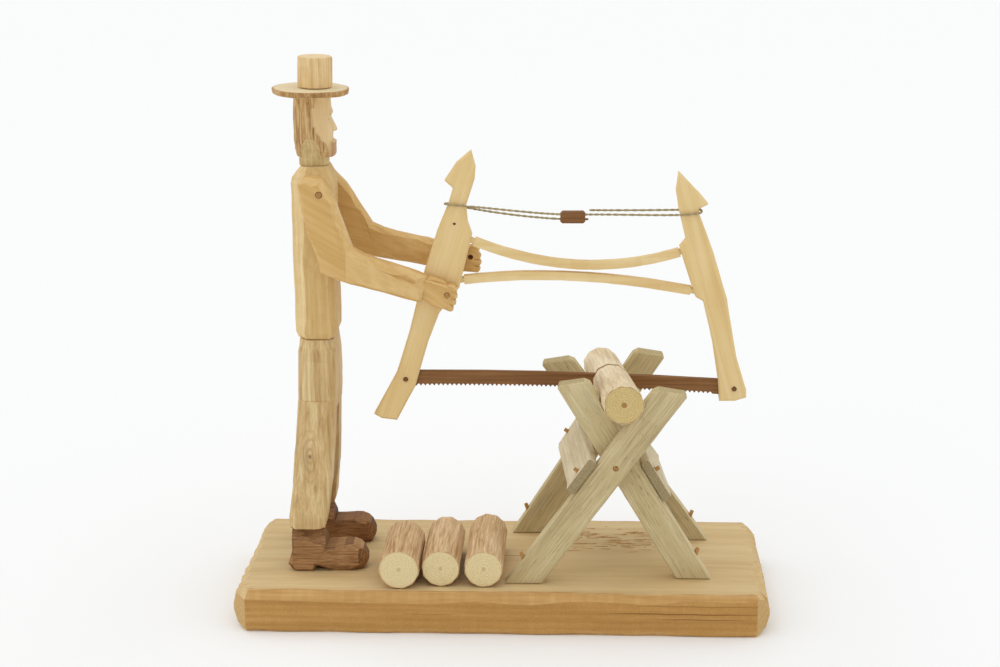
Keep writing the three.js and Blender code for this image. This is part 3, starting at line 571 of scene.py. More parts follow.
def insets(points):
    """The inward direction at each point of a closed outline."""
    count = len(points)
    area = sum(points[k - 1].x * points[k].y - points[k].x * points[k - 1].y for k in range(count))
    turn = 1 if area > 0 else -1
    found = []
    for k in range(count):
        before = (points[k] - points[k - 1]).normalized()
        after = (points[(k + 1) % count] - points[k]).normalized()
        normal = Vector((-(before + after).y, (before + after).x)).normalized() * turn
        found.append(normal / max(0.6, abs(normal.dot(Vector((-after.y, after.x))))))
    return found


def wavy(seed, x, y, size, amount):
    """A smooth uneven value about 0, at a place in mm."""
    return amount * noise.noise(Vector((x / size, y / size, seed)))


def whittled_plate(outline, depth, front, back, seed, step=5.0, uneven=0.45, drop=0.75):
    """A solid cut from a board standing in XZ. depth gives y at front and back for a place.
    front, which takes the inward direction, and back give the widths of the knifed edges;
    every width wanders by uneven."""
    points = resample(outline, step)
    columns = []
    for p, n in zip(points, insets(points)):
        y_front, y_back = depth(p.x, p.y)
        width = front(n)
        front_in, back_in, front_drop, back_drop = (
            max(0.3, cut * (1 + wavy(seed + more, p.x, p.y, size, 2 * uneven)))
            for cut, more, size in ((width, 0, 9), (back, 7, 9), (width * drop, 11, 8), (back * drop, 17, 8))
        )
        shaved = n * abs(wavy(seed + 23, p.x, p.y, 7, 0.25))
        x, z = p.x + shaved.x, p.y + shaved.y
        inner_front, inner_back = p + n * front_in, p + n * back_in
        columns.append((
            (inner_front.x, y_front, inner_front.y), (x, y_front + front_drop, z),
            (x, y_back - back_drop, z), (inner_back.x, y_back, inner_back.y),
        ))
    return loft(list(zip(*columns)))


def blend_steps(table, at):
    """A smooth value between the steps of a table of (place, value, ...)."""
    if at <= table[0][0]:
        return table[0][1:]
    for low, high in zip(table, table[1:]):
        if at <= high[0]:
            t = ramp_up(at, low[0], high[0])
            return tuple(a + (b - a) * t for a, b in zip(low[1:], high[1:]))
    return table[-1][1:]


def hump(value, centre, width):
    return math.exp(-(((value - centre) / width) ** 2))


def ramp_up(value, low, high):
    t = min(1, max(0, (value - low) / (high - low)))
    return t * t * (3 - 2 * t)


# ---------- the board


def cornered_rectangle(half_x, half_y, cuts, step):
    """Points round a rectangle whose corners are cut off, each by its own amount, from front right."""
    points = []
    places = [(1, -1), (1, 1), (-1, 1), (-1, -1)]
    for (sx, sy), cut in zip(places, cuts):
        along_x = Vector((sx * (half_x - cut), sy * half_y))
        along_y = Vector((sx * half_x, sy * (half_y - cut)))
        points += [along_x, along_y] if sx * sy < 0 else [along_y, along_x]
    return resample(points, step)


def base_board():
    half_x, half_y, height = box_mm("base_board")[1]
    points = cornered_rectangle(half_x, half_y, (7.8, 7.5, 7.5, 8.2), 3.0)
    columns = []
    for p, n in zip(points, insets(points)):
        at_end = ramp_up(abs(p.x), half_x - 6, half_x - 1)
        in_front = ramp_up(-p.y, half_y - 6, half_y - 1) * (1 - at_end) * (1 - 0.8 * ramp_up(p.x, 10, 80))
        bite = abs(math.sin(p.y / 3.9 + 1.3 * math.sin(p.y / 13 + p.x))) * at_end
        top_in = 3.2 + 1.9 * at_end + 0.6 * in_front + wavy(1, p.x, p.y, 24, 2.0) + 1.5 * bite
        top_down = 3.0 + 2.0 * in_front + wavy(2, p.x, p.y, 34, 3.4) + 2.4 * bite
        low_in = 1.6 + 3.4 * at_end + wavy(3, p.x, p.y, 21, 1.6) + 0.8 * bite
        low_up = 1.8 + wavy(4, p.x, p.y, 27, 2.6)
        belly = abs(wavy(5, p.x, p.y, 26, 0.6)) + 0.5 * bite
        edge = p + n * max(0.8, top_in)
        column = (
            (p + n * max(0.5, low_in), 0), (p + n * (belly + 1.9 * at_end), max(0.5, low_up)),
            (p + n * belly, height * 0.42), (p + n * belly, height * 0.58),
            (p + n * (belly + 1.4 * at_end), height - max(0.9, top_down)),
            (edge, height - 0.15), (edge * 0.98, height), (edge * 0.7, height),
        )
        columns.append([(*at, z) for at, z in column])
    bm = loft(list(zip(*columns)))
    add_torn_patch(bm, height, random.Random(11))
    mesh = to_mesh(bm)
    flow = straight_flow(X, Z * height * MM, (55, -24), 0.1)
    board = finish_piece(mesh, "base_board", "board_wood", flow, X, 5, tone=0.3)
    ends = [0.85 if abs(f.normal.x) > 0.45 and abs(f.normal.z) < 0.9 else 0.0 for f in mesh.polygons]
    mesh.attributes["end"].data.foreach_set("value", ends)
    top = (height - 0.6) * MM
    add_material(board, "board_side", lambda f: f.center.z < top and abs(f.normal.z) < 0.9)
    add_material(board, "board_bevel", lambda f: f.center.z < top and 0.35 < abs(f.normal.z) < 0.9)
    add_material(board, "torn_wood", lambda f: f.area < 6e-6 and f.center.z > (height - 0.1) * MM)


def add_torn_patch(bm, height, rng):
    """Torn splinters that stand up off the top, behind and under the log."""
    for _ in range(170):
        x = 26 + 76 * rng.random()
        y = 28 + 11 * rng.gauss(0, 1)
        if not 5 < y < 50 or rng.random() < abs(x - 62) / 60:
            continue
        length = rng.uniform(1.5, 10)
        width = rng.uniform(0.15, 0.55)
        rise = rng.uniform(0.1, 0.45)
        turn = rng.gauss(0, 0.1)
        along = Vector((math.cos(turn), math.sin(turn), 0))
        side = Vector((-along.y, along.x, 0))
        middle = Vector((x, y, height - 0.12))
        tail = middle - along * length / 2
        tip = middle + along * length / 2 + Z * rise
        ring = [tail, middle + side * width, tip, middle - side * width]
        low = [bm.verts.new(p * MM) for p in ring]
        high = [bm.verts.new((p + Z * 0.22) * MM) for p in ring]
        bm.faces.new(low[::-1])
        bm.faces.new(high)
        for k in range(4):
            n = (k + 1) % 4
            bm.faces.new((low[k], low[n], high[n], high[k]))


# ---------- the figure

FIGURE_X = -106.2
MIDPLANE = 2.0
FIGURE_AXIS = Vector((FIGURE_X, MIDPLANE, 0)) * MM
DOWEL_HOLE = 1.95


def shave(bm, place, outward):
    """Cuts off what stands out past a plane, in mm, and closes the cut with a flat face."""
    cut = bisect(bm, Vector(place) * MM, Vector(outward).normalized(), clear_outer=True)
    edges = [g for g in cut["geom_cut"] if isinstance(g, bmesh.types.BMEdge)]
    bmesh.ops.contextual_create(bm, geom=edges)


def boot(node, seed, material):
    (x, front, z), (_, back, _) = box_mm(node)
    outline = [
        (x, z + 4.5), (x + 3.5, z), (x + 14.8, z), (x + 16.2, z + 3.4), (x + 18, z + 3.2), (x + 27, z),
        (x + 42.5, z), (x + 46, z + 1.8), (x + 46.4, z + 8.5), (x + 43.6, z + 13), (x + 38, z + 16),
        (x + 22.4, z + 14.4), (x + 21, z + 25.5), (x + 2.4, z + 25.5), (x + 2.6, z + 13),
    ]

    def depth(at_x, at_z):
        toe = 1.6 * ramp_up(at_x - x, 20, 30)
        return front + toe, back - toe

    bm = whittled_plate(outline, depth, lambda n: 1.4, 1.4, seed, step=5, uneven=0.4, drop=0.9)
    for side, at_y in ((-1, front), (1, back)):
        shave(bm, (x + 43.5, at_y - side * 4.2, z + 7), (1, 0.95 * side, 0.05))
        shave(bm, (x + 40, at_y - side * 2.2, z + 13.5), (0.25, side, 1.1))
        shave(bm, (x + 40, at_y - side * 2.6, z + 2.2), (0.5, side, -0.9))
        shave(bm, (x + 44.6, at_y - side * 5.5, z + 12.0), (1, 0.5 * side, 1.0))
    shave(bm, (x + 45.2, (front + back) / 2, z + 3.0), (1, 0, -0.7))
    flow = straight_flow(X, middle_of(node), (9, 14), seed * 0.1)
    finish_piece(to_mesh(bm), node, material, flow, X, seed)


def painted_far_leg_shade(face):
    """Painted shade: the far leg is painted darker on the side that faces the near leg, where the near leg
    shades it.
    """
    return -2.4 if face.center.y > (MIDPLANE + 1) * MM and face.normal.y < -0.25 else 0.0


def trousers():
    rng = random.Random("trousers")
    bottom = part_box("trousers")[0].z
    bm = clean_copy("trousers")
    slice_across(bm, Z, 10 * MM, rng)
    hem = [e for e in bm.edges if max(v.co.z for v in e.verts) < bottom + 0.5 * MM]
    bmesh.ops.subdivide_edges(bm, edges=hem, cuts=3)
    knife(bm, 0.45 * MM, rng)
    for v in bm.verts:
        if v.co.z < bottom + 0.8 * MM:
            v.co.z = bottom + rng.random() ** 3 * 0.9 * MM
    # The far leg's inner side gets painted shade.
    finish_piece(
        to_mesh(bm), "trousers", "trouser_wood", straight_flow(Z, FIGURE_AXIS, (2, 3), 0.2),
        Z, 3, tone=0.35, lighten=painted_far_leg_shade,
    )


def painted_left_highlight(face):
    """Painted highlight: the knifed front left corner of the torso is painted paler, where the light from
    the left falls.
    """
    return 2.2 if face.normal.x < -0.35 and face.normal.y < -0.3 else 0.0


# Up the torso, in mm: the height, the cuts at the left, front and back, and right, and the widths of
# the knifed corners on the left and on the right.
TORSO_LEVELS = [
    (0, 1.6, 1.8, 1.8, 5.2, 2.6), (3.5, 0.3, 0.2, 0.3, 5.8, 3.0), (12, 0, 0, 0, 6.2, 3.2),
    (24, 0.2, 0, 0.1, 6.0, 3.0), (36, 0, 0.1, 0.1, 6.6, 3.4), (48, 0.1, 0.2, 0, 6.0, 3.1),
    (60, 0, 0, 0.1, 6.3, 3.4), (72, 0.2, 0.1, 0.2, 6.8, 3.2), (82, 0.1, 0.3, 0.1, 6.2, 3.6),
    (90, 0.3, 0.6, 0.3, 5.6, 3.6), (93.5, 0.9, 1.6, 0.9, 5.2, 3.8), (99, 5.6, 5.8, 3.4, 3.6, 2.6),
]


def torso():
    (left, front, bottom), (right, back, _) = box_mm("torso")
    rings = []
    for height, off_left, off_y, off_right, big, small in TORSO_LEVELS:
        x0, x1 = left + off_left, right - off_right
        y0, y1 = front + off_y, back - off_y
        wander = [wavy(30 + k, height, 3 * k, 11, 2.6) for k in range(8)]
        corners = [
            (x1 - small + wander[0], y0), (x1, y0 + small * 1.7 + wander[1]),
            (x1, y1 - small * 1.7 + wander[2]), (x1 - small + wander[3], y1),
            (x0 + big + wander[4], y1), (x0, y1 - big * 1.4 + wander[5]),
            (x0, y0 + big * 1.1 + wander[6]), (x0 + big * 1.15 + wander[7], y0),
        ]
        ring = []
        for k, (x, y) in enumerate(corners):
            there = (*corners[(k + 1) % 8], bottom + height)
            ring += stretch((x, y, bottom + height), there, 5 if k % 2 else 2)
        rings.append(ring)
    fine = []
    for low, high in zip(rings, rings[1:]):
        parts = max(1, round((high[0][2] - low[0][2]) / 4))
        fine += [list(ring) for ring in zip(*(stretch(p, q, parts) for p, q in zip(low, high)))]
    fine.append(rings[-1])
    middle_x, middle_y = (left + right) / 2, (front + back) / 2
    for ring in fine[1:-1]:
        for k, (x, y, z) in enumerate(ring):
            scoop = 1.3 * ramp_up(1 - ((x - middle_x + 1) / 8) ** 2 - ((z - bottom - 57) / 17) ** 2, 0, 0.6)
            facet = 0.35 * abs(wavy(50, x + y, z, 11, 1))
            inward = Vector((middle_x - x, middle_y - y)).normalized()
            y += scoop if y < middle_y - 12 else 0
            ring[k] = (x + inward.x * facet, y + inward.y * facet, z)
    at = middle_of("shoulder_dowel") / MM
    hole = stick((at.x, -40, at.z), (at.x, 40, at.z), DOWEL_HOLE)
    mesh = boolean(to_mesh(loft(fine)), [hole], "DIFFERENCE")
    flow = straight_flow(Z, FIGURE_AXIS, (25, 38), 0.3)
    # The torso's front left corner gets a painted highlight.
    finish_piece(mesh, "torso", "pale_wood", flow, Z, 4, tone=0.35, lighten=painted_left_highlight)


# Up the head, in mm: front and back from the figure's axis, and half the width.
HEAD_LEVELS = [
    (0, 8.4, -8.2, 7.6), (3.6, 8.6, -8.4, 7.8), (6.5, 9.8, -9.2, 8.8), (10, 10.5, -9.9, 9.6),
    (16, 10.9, -10.3, 10.2), (24, 10.7, -10.4, 10.3), (31, 10.3, -10.3, 10.2), (40.5, 9.9, -9.7, 9.6),
]
# Brow, eye socket, eye, cheek, upper lip, lower lip and mouth: how far each stands out or in, then
# its height and how tall it is, then its place to the side and how wide it is.
FACE_SWELLS = [
    (0.9, 29.4, 1.6, 3.2, 4.0), (-1.6, 26.2, 1.7, 4.3, 2.3), (0.8, 25.9, 0.75, 4.3, 1.5),
    (0.45, 20.5, 3.0, 6.2, 2.6), (0.45, 16.8, 0.8, 0, 2.9), (0.5, 14.6, 0.8, 0, 2.6),
    (-0.7, 15.7, 0.4, 0, 3.2),
]
# Up the head: how far forward the hair comes at the side.
HAIRLINE = [(5, 9.5), (8, 9.3), (12, 8.4), (16, 5.2), (20, 2.6), (25, 1.4), (31, 1.6), (36, 3.0), (41, 4.6)]


def head_point(turn, up, bottom):
    """A point on the head, and how much of it is hair, beard and bare nape."""
    front, back, half = blend_steps(HEAD_LEVELS, up)
    c, s = math.cos(turn), math.sin(turn)
    squared = 2 / 3.2
    x = math.copysign(abs(c) ** squared, c) * (front if c > 0 else -back)
    y = math.copysign(abs(s) ** squared, s) * half
    face = ramp_up(c, 0.25, 0.75)
    side = abs(y)
    grow = 2.8 * ramp_up(up, 18.2, 19.2) * (1 - ramp_up(up, 19.4, 28.0)) * hump(y, 0, 1.9)
    for amount, height, tall, out, wide in FACE_SWELLS:
        grow += amount * hump(up, height, tall) * hump(side, out, wide)
    beard = ramp_up(up, 4.2, 4.9) * (1 - ramp_up(up, 13.0, 13.7)) * (1 - ramp_up(side, 6.2, 7.4))
    grow += (2.2 + 0.9 * (1 - ramp_up(up, 4.5, 11))) * beard
    x += grow * face
    beard *= ramp_up(face, 0.15, 0.5)
    (line,) = blend_steps(HAIRLINE, up)
    hair = ramp_up(line - x, -0.25, 0.35) * (1 - beard)
    out = Vector((x / 11, y / 10)).normalized()
    nape = ramp_up(1 - ((x + 1.0) / 6.2) ** 2 - ((up - 3) / 13.5) ** 2, 0.0, 0.25) * (1 if side > 4 else 0)
    nape = max(nape, 1 - ramp_up(up, 4.2, 5.4))
    hair *= 1 - nape
    strands = abs(math.sin((x * 0.9 + y * 0.8) * 1.9 + wavy(70, up, x + y, 9, 2.0)))
    brow = 0.5 * face * hump(up, 28.9, 0.6) * hump(side, 4.4, 2.4)
    eye = 0.6 * face * hump(up, 25.9, 0.45) * hump(side, 4.4, 1.1)
    lift = hair * (0.55 - 0.28 * strands) - 0.9 * nape * ramp_up(up, 2, 7)
    lift -= 0.3 * beard * abs(math.sin(y * 2.3 + wavy(71, up, y, 6, 1.5)))
    place = (FIGURE_X + x + out.x * lift, MIDPLANE + y + out.y * lift, bottom + up)
    return place, (max(hair, brow), max(beard, eye), nape * (1 - beard))


def head():
    (_, _, bottom), (_, _, top) = box_mm("head")
    rows, columns = 76, 92
    rings, growth = [], []
    for r in range(rows + 1):
        made = [head_point(turn, (top - bottom) * r / rows, bottom) for turn in angles(columns)]
        rings.append([p for p, _ in made])
        growth += [grown for _, grown in made]
    mesh = to_mesh(loft(rings))
    for name, grown in zip(("hair", "beard", "nape"), zip(*growth)):
        write(mesh, name, grown, "POINT")
    flow = straight_flow(Z, FIGURE_AXIS, (16, 21), 0.4)
    finish_piece(mesh, "head", "face_wood", flow, Z, 6, tone=0, smooth=30)


HAT_TILT = math.radians(1.2)
# Over the brim's edge, from the middle above to the middle below: shares of the radius, heights in mm.
BRIM_PROFILE = [
    (0.02, 0.9), (0.3, 0.9), (0.55, 0.9), (0.8, 0.85), (0.93, 0.8), (0.985, 0.7), (1.0, 0.35),
    (0.995, -0.8), (0.985, -2.1), (0.96, -2.4), (0.85, -2.0), (0.7, -1.5), (0.55, -1.12),
    (0.3, -1.12), (0.02, -1.12),
]


def hat_brim():
    lo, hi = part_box("hat_brim")
    centre = (lo + hi) / 2 / MM
    radius = (hi.x - lo.x) / 2 / MM
    rings = []
    for share, up in BRIM_PROFILE:
        ring = []
        for turn in angles(60):
            spot = Vector((3.4 * math.cos(turn), 3.4 * math.sin(turn), 5 + 0.2 * up))
            rough = 0.2 + 0.45 * noise.noise(spot)
            reach = share * (radius - rough * ramp_up(share, 0.8, 1))
            x, y = reach * math.cos(turn), reach * math.sin(turn)
            uneven = wavy(80, x + 40, y, 14, 0.3) * ramp_up(share, 0.5, 0.9)
            ring.append((centre.x + x, centre.y + y, centre.z + up + uneven - x * math.sin(HAT_TILT)))
        rings.append(ring)
    flow = straight_flow(Z, centre * MM, (0, 0), 0.0)
    finish_piece(to_mesh(loft(rings)), "hat_brim", "brim_wood", flow, Z, 8, tone=0, smooth=35)


def hat_crown():
    (left, _, bottom), (right, _, top) = box_mm("hat_crown")
    centre = middle_of("hat_crown") / MM
    radius = (right - left) / 2 - 0.45
    rng = random.Random("crown")
    turns = uneven_angles(rng, 10, 0.18)
    rings = []
    for share, shrink in ((0, 0.3), (0.03, 0.05), (0.35, 0.0), (0.7, 0.05), (0.965, 0.1), (1, 0.5)):
        ring = []
        for k, turn in enumerate(turns):
            after = turns[(k + 1) % 10] + (2 * math.pi if k == 9 else 0)
            for t in (0, 0.5):
                at = turn + (after - turn) * t
                chord = math.cos((after - turn) / 2) if t else 1.0
                reach = (radius - shrink) * chord + wavy(90 + k, share * 20, t, 7, 0.25) - 0.1
                x, y = reach * math.cos(at), reach * math.sin(at)
                z = bottom + 0.25 + (top - bottom - 0.45) * share
                ring.append((centre.x + x + 0.5 * (share - 0.6), centre.y + y, z - x * math.sin(HAT_TILT)))
        rings.append(ring)
    flow = straight_flow(Z, centre * MM, (2.2, 1.2), 0.7)
    finish_piece(to_mesh(loft(rings)), "hat_crown", "hat_wood", flow, Z, 9, tone=0.5)


# ---------- the arms

ARM_OUTLINE = [
    (-12, 6), (-8.6, 9.8), (1.6, 8.6), (8.8, -4.8), (13.2, -18.6), (17.4, -31), (23.4, -35.3),
    (38, -41.7), (47.6, -45.4), (58.2, -50.5), (54.5, -64.9), (46, -62.1), (33.2, -57.2),
    (16.4, -51.5), (5.4, -47.5), (-0.4, -44.6), (-2.2, -36.6), (-7.8, -20.6), (-10.2, -8),
]
PALM_OUTLINE = [
    (53, -51.9), (60, -52.6), (68.4, -54.9), (71.6, -56.6), (72.6, -59), (71.2, -66),
    (69.6, -70.2), (61, -67.6), (56.2, -64.6), (52, -62.9),
]
# Each finger: its knuckle's place and how far it stands out, down the hand.
FINGERS = [(72.4, -57.5, 2.75), (72.7, -61.3, 2.45), (72.0, -65.0, 2.4), (70.4, -68.5, 2.45)]
ARM_INNER = 17.3
ARM_OUTER = 27.8
HAND_INNER = 4.05
HAND_OUTER = 12.45
HAND_HOLE = (69.5, -60.9)
HAND_HOLE_RADIUS = 1.6
LEAN_FROM = 14.0
LEAN = (ARM_INNER - HAND_INNER) / (56 - LEAN_FROM)
FAR_ARM_LIFT = math.radians(13.9)
ARM_GRAIN = straight_flow(Vector((0.86, 0, -0.51)), Vector(), (24, 30), 0)


def finger(x, z, size):
    """A knuckle and the finger that curls from it round the saw's cheek."""
    rings = []
    for y, swell in ((-HAND_OUTER + 0.25, 0.5), (-HAND_OUTER + 0.9, 0.86), (-HAND_OUTER + 2.2, 1.0),
                     (-8, 0.98), (-5.4, 0.9), (-HAND_INNER - 0.05, 0.8)):
        rings.append([
            (x + (3.0 if math.cos(turn) < 0 else 2.5) * swell * math.cos(turn) * size / 2.3,
             y, z + size * swell * 0.98 * math.sin(turn) - 0.3 * math.cos(turn) * size)
            for turn in angles(12)
        ])
    return to_mesh(loft(rings))


def thumb():
    rings = []
    for x, z, half_z, half_y in ((56.5, -54.0, 2.4, 2.6), (60, -53.2, 2.6, 2.9), (64, -53.9, 2.1, 2.7),
                                 (67.6, -55.0, 1.6, 2.2), (69.2, -55.6, 0.9, 1.3)):
        rings.append([
            (x, -7.6 + half_y * 1.1 * math.cos(turn), z + half_z * 1.1 * math.sin(turn))
            for turn in angles(8, phase=0.5)
        ])
    return to_mesh(loft(rings))


def arm_depth(x, z):
    shift = LEAN * max(0.0, x - LEAN_FROM)
    return -ARM_OUTER + shift, -ARM_INNER + shift


def hand_depth(x, z):
    return -HAND_OUTER + ramp_up(60 - x, 0, 3), -HAND_INNER


def sleeve_edge(inward):
    """The knifed edge is wide along the arm's upper side and narrow elsewhere."""
    return 1.4 + 2.2 * max(0.0, -inward.dot(Vector((0.64, 0.77))))


def carved_arm(hole_end):
    """The near arm about its shoulder dowel, in mm from the saw's plane.
    The hole in its hand goes in from the inner face to hole_end."""
    sleeve = whittled_plate(ARM_OUTLINE, arm_depth, sleeve_edge, 1.8, 21, step=6.5, drop=1.0)
    bisect(sleeve, X * LEAN_FROM * MM, X)
    palm = whittled_plate(PALM_OUTLINE, hand_depth, lambda n: 1.4, 0.8, 25, step=4, uneven=0.4)
    parts = [to_mesh(palm), thumb()] + [finger(*place) for place in FINGERS]
    solid = boolean(to_mesh(sleeve), parts, "UNION")
    x, z = HAND_HOLE
    holes = [
        stick((0, -60, 0), (0, 60, 0), DOWEL_HOLE), stick((x, hole_end, z), (x, 60, z), HAND_HOLE_RADIUS),
    ]
    return boolean(solid, holes, "DIFFERENCE")


def lit_edge(face):
    """Painted highlight: the wide knifed edge along an arm's upper side is painted paler, where the light
    falls on it.
    """
    slant = abs(face.normal.y)
    return 1.6 if 0.3 < slant < 0.95 and face.normal.dot(Vector((0.64, 0, 0.77))) > 0.2 else 0.0


def arms():
    shoulder = middle_of("shoulder_dowel")
    shoulder.y = MIDPLANE * MM
    at_shoulder = Matrix.Translation(shoulder)
    mirror = Matrix.Diagonal((1, -1, 1, 1))
    for mesh, node, matrix, seed in (
        (carved_arm(-60), "near_arm", at_shoulder, 31),
        (carved_arm(-HAND_INNER - 5.9), "far_arm",
         at_shoulder @ Matrix.Rotation(-FAR_ARM_LIFT, 4, "Y") @ mirror, 32),
    ):
        back = matrix.inverted()
        mesh.transform(matrix)
        if matrix.determinant() < 0:
            mesh.flip_normals()
        # Each arm's wide upper knifed edge gets a painted highlight.
        finish_piece(
            mesh, node, "arm_wood", lambda p, back=back: ARM_GRAIN(back @ p),
            Vector((0.97, 0, -0.25)), seed, tone=0.4, lighten=lit_edge,
        )


# ---------- the saw

# The cord's route about the near hand's peg, in mm.
CORD_ROUTE = [
    (80.6, 2.6, 46.5), (93, 3.4, 46.3), (111, 4.3, 46.2), (128, 4.9, 46.3), (138, 4.9, 46.5),
    (142.6, 4.4, 46.7), (143.9, 2.4, 46.7), (143.9, -2.4, 46.7), (142.6, -4.4, 46.5),
    (138, -4.9, 45.9), (128, -4.9, 45.4), (111, -3.9, 45.2), (93, -2.6, 45.1), (79.6, -1.6, 44.9),
    (71, -1.4, 44.9), (63, -1.6, 45), (51, -2.4, 45.9), (36, -3.5, 47.5), (21, -4.5, 49.2),
    (11, -4.9, 50.1), (2.6, -4.9, 50.9), (-0.2, -4.2, 51.1), (-1.2, -2.2, 50.9),
    (-1.2, 2.2, 50.2), (-0.2, 4.2, 49.9), (3.4, 4.9, 49.1), (12, 4.9, 47.1),
    (23, 4.3, 45.3), (39, 3.3, 43.3), (53, 2.4, 42.1), (63, 1.6, 41.6), (71, 1.4, 41.5),
    (80.4, 1.4, 41.5),
]
CORD_STEP = 0.42
CORD_LAY = 5.0
STRAND_RADIUS = 0.45
STRAND_OFFSET = 0.25
SAW_PLACE = middle_of("near_hand_peg") / MM
SAW_PLACE.y = MIDPLANE


def smooth_route(points, step):
    """Points every step along a smooth curve through the route."""
    fine = []
    count = len(points)
    for k in range(count - 1):
        p0, p1, p2, p3 = (points[min(count - 1, max(0, k + d))] for d in (-1, 0, 1, 2))
        for j in range(24):
            t = j / 24
            fine.append(0.5 * (
                2 * p1 + (p2 - p0) * t + (2 * p0 - 5 * p1 + 4 * p2 - p3) * t * t
                + (3 * p1 - p0 - 3 * p2 + p3) * t * t * t
            ))
    fine.append(points[-1])
    even, walked = [fine[0]], 0.0
    for here, there in zip(fine, fine[1:]):
        walked += (there - here).length
        if walked >= step:
            even.append(there)
            walked = 0.0
    return even


def cord():
    route = smooth_route([Vector(p) + SAW_PLACE for p in CORD_ROUTE], CORD_STEP)
    bm = bmesh.new()
    for strand in (0, math.pi):
        rings = []
        for k, p in enumerate(route):
            along = (route[min(k + 1, len(route) - 1)] - route[max(k - 1, 0)]).normalized()
            side = along.cross(Z).normalized()
            over = side.cross(along)
            turn = 2 * math.pi * k * CORD_STEP / CORD_LAY + strand
            (middle,) = circle(p, side, over, STRAND_OFFSET, [turn])
            rings.append(circle(middle, side, over, STRAND_RADIUS, angles(7)))
        loft(rings, bm)
    flow = straight_flow(X, SAW_PLACE * MM, (0, 0), 0.0)
    finish_piece(
        to_mesh(bm), "tension_cord", "cord_fibre", flow, X, 12, tone=0, smooth=60, kind="twine"
    )


# ---------- the logs

SAW_LINE = middle_of("saw_blade").y / MM
KERF_HALF = 1.5
END_REACH = 2
LOG_SIDES = 44


def log_ends(node):
    """The middle and the radius of a round log's front and back ends, in mm."""
    points = mesh_points(node) / MM
    front, back = points[:, 1].min() + END_REACH, points[:, 1].max() - END_REACH
    ends = []
    for ring in (points[points[:, 1] < front], points[points[:, 1] > back]):
        low, high = ring.min(0), ring.max(0)
        ends.append((Vector((low + high) / 2), float(high[0] - low[0]) / 2))
    return ends


def round_log(node, seed, waves=0.3):
    """A round log as a mesh, its surface uneven inside its CAD solid."""
    (start, first), (stop, last) = log_ends(node)
    faces = [corner[1] for corner in box_mm(node)]
    start, stop = (start + (stop - start) * ((y - start.y) / (stop.y - start.y)) for y in faces)
    along = (stop - start).normalized()
    steps = max(8, round((stop - start).length / 3.2))

    def ring_at(share, scale, sink=0.0):
        radius = (first + (last - first) * share) * scale
        ring = []
        for turn in angles(LOG_SIDES):
            spot = Vector((1.6 * math.cos(turn), 1.6 * math.sin(turn), share * 2.2 + seed))
            rough = waves * (0.5 + 0.5 * noise.noise(spot))
            facet = 0.5 * abs(math.sin(5.5 * turn + seed)) ** 2
            reach = radius - (rough + facet) * min(1, scale)
            p = start.lerp(stop, share) + Y * (sink if share < 0.5 else -sink)
            ring.append(p + (X * math.cos(turn) + Z * math.sin(turn)) * reach)
        return ring

    def sawn_end(share, other):
        """An end's rings, from its middle out to the worn edge."""
        inner = [
            ring_at(share, scale, 0.12 * noise.noise(Vector((scale * 9, seed, other))) + 0.1)
            for scale in (0.06, 0.25, 0.5, 0.75, 0.9)
        ]
        return inner + [ring_at(share, 0.975, 0.05), ring_at(share, 1.0, 0.4)]

    rings = sawn_end(0, 0) + [ring_at(k / steps, 1.0) for k in range(1, steps)] + sawn_end(1, 3)[::-1]
    flow_to = straight_flow(along, (start + stop) / 2 * MM, (0, 0), seed * 0.13)
    rim = 11.5 / ((first + last) / 2)

    def flow(p):
        g = flow_to(p)
        return Vector((g.x, g.y * rim, g.z * rim))

    return to_mesh(loft(rings)), flow, along


def bark_stub():
    """The end of a torn-off strip of bark on the front left of the left log."""
    (left, front, low), (_, _, high) = box_mm("cut_log_left")
    at = Vector((left + 1.4, front + 1.2, (low + high) / 2 - 3.4))
    rings = []
    for along, out, half in ((0, 0.9, 1.9), (2.4, 1.3, 2.4), (5.2, 0.9, 2.0), (8.6, 0.1, 0.9)):
        rings.append([
            at + Vector((1.6 - (1.6 + out) * max(0.0, math.cos(t)), along, half * math.sin(t)))
            for t in angles(10)
        ])
    return to_mesh(loft(rings))


def kerf_bottom():
    """The height of the kerf's floor in the CAD log, in mm."""
    points = mesh_points("sawn_log") / MM
    near = points[np.abs(points[:, 1] - SAW_LINE) < 2.2]
    heights = sorted(set(np.round(near[:, 2], 1)))
    return float(max(heights, key=lambda h: int((np.abs(near[:, 2] - h) < 0.06).sum())))


def kerf():
    left, right = (corner[0] for corner in box_mm("sawn_log"))
    low = kerf_bottom()
    slot = []
    for x in np.linspace(left - 5, right + 5, 12):
        wide = KERF_HALF + wavy(101, x, 0, 6, 0.12)
        y0, y1 = SAW_LINE - wide, SAW_LINE + wide
        slot.append([(x, y0, low), (x, y1, low), (x, y1, low + 40), (x, y0, low + 40)])
    return to_mesh(loft(slot))


def logs():
    for seed, node in enumerate(("cut_log_left", "cut_log_middle", "cut_log_right")):
        mesh, flow, along = round_log(node, seed + 1.3)
        if node == "cut_log_left":
            mesh = boolean(mesh, [bark_stub()], "UNION")
        finish_piece(mesh, node, "peeled_wood", flow, along, seed, tone=0, smooth=25)
    mesh, flow, along = round_log("sawn_log", 9.1, waves=0.35)
    mesh = boolean(mesh, [kerf()], "DIFFERENCE")
    finish_piece(mesh, "sawn_log", "bark", flow, along, 7, tone=0, smooth=25)


# ---------- the pegs

PEG_RADIUS = 1.5


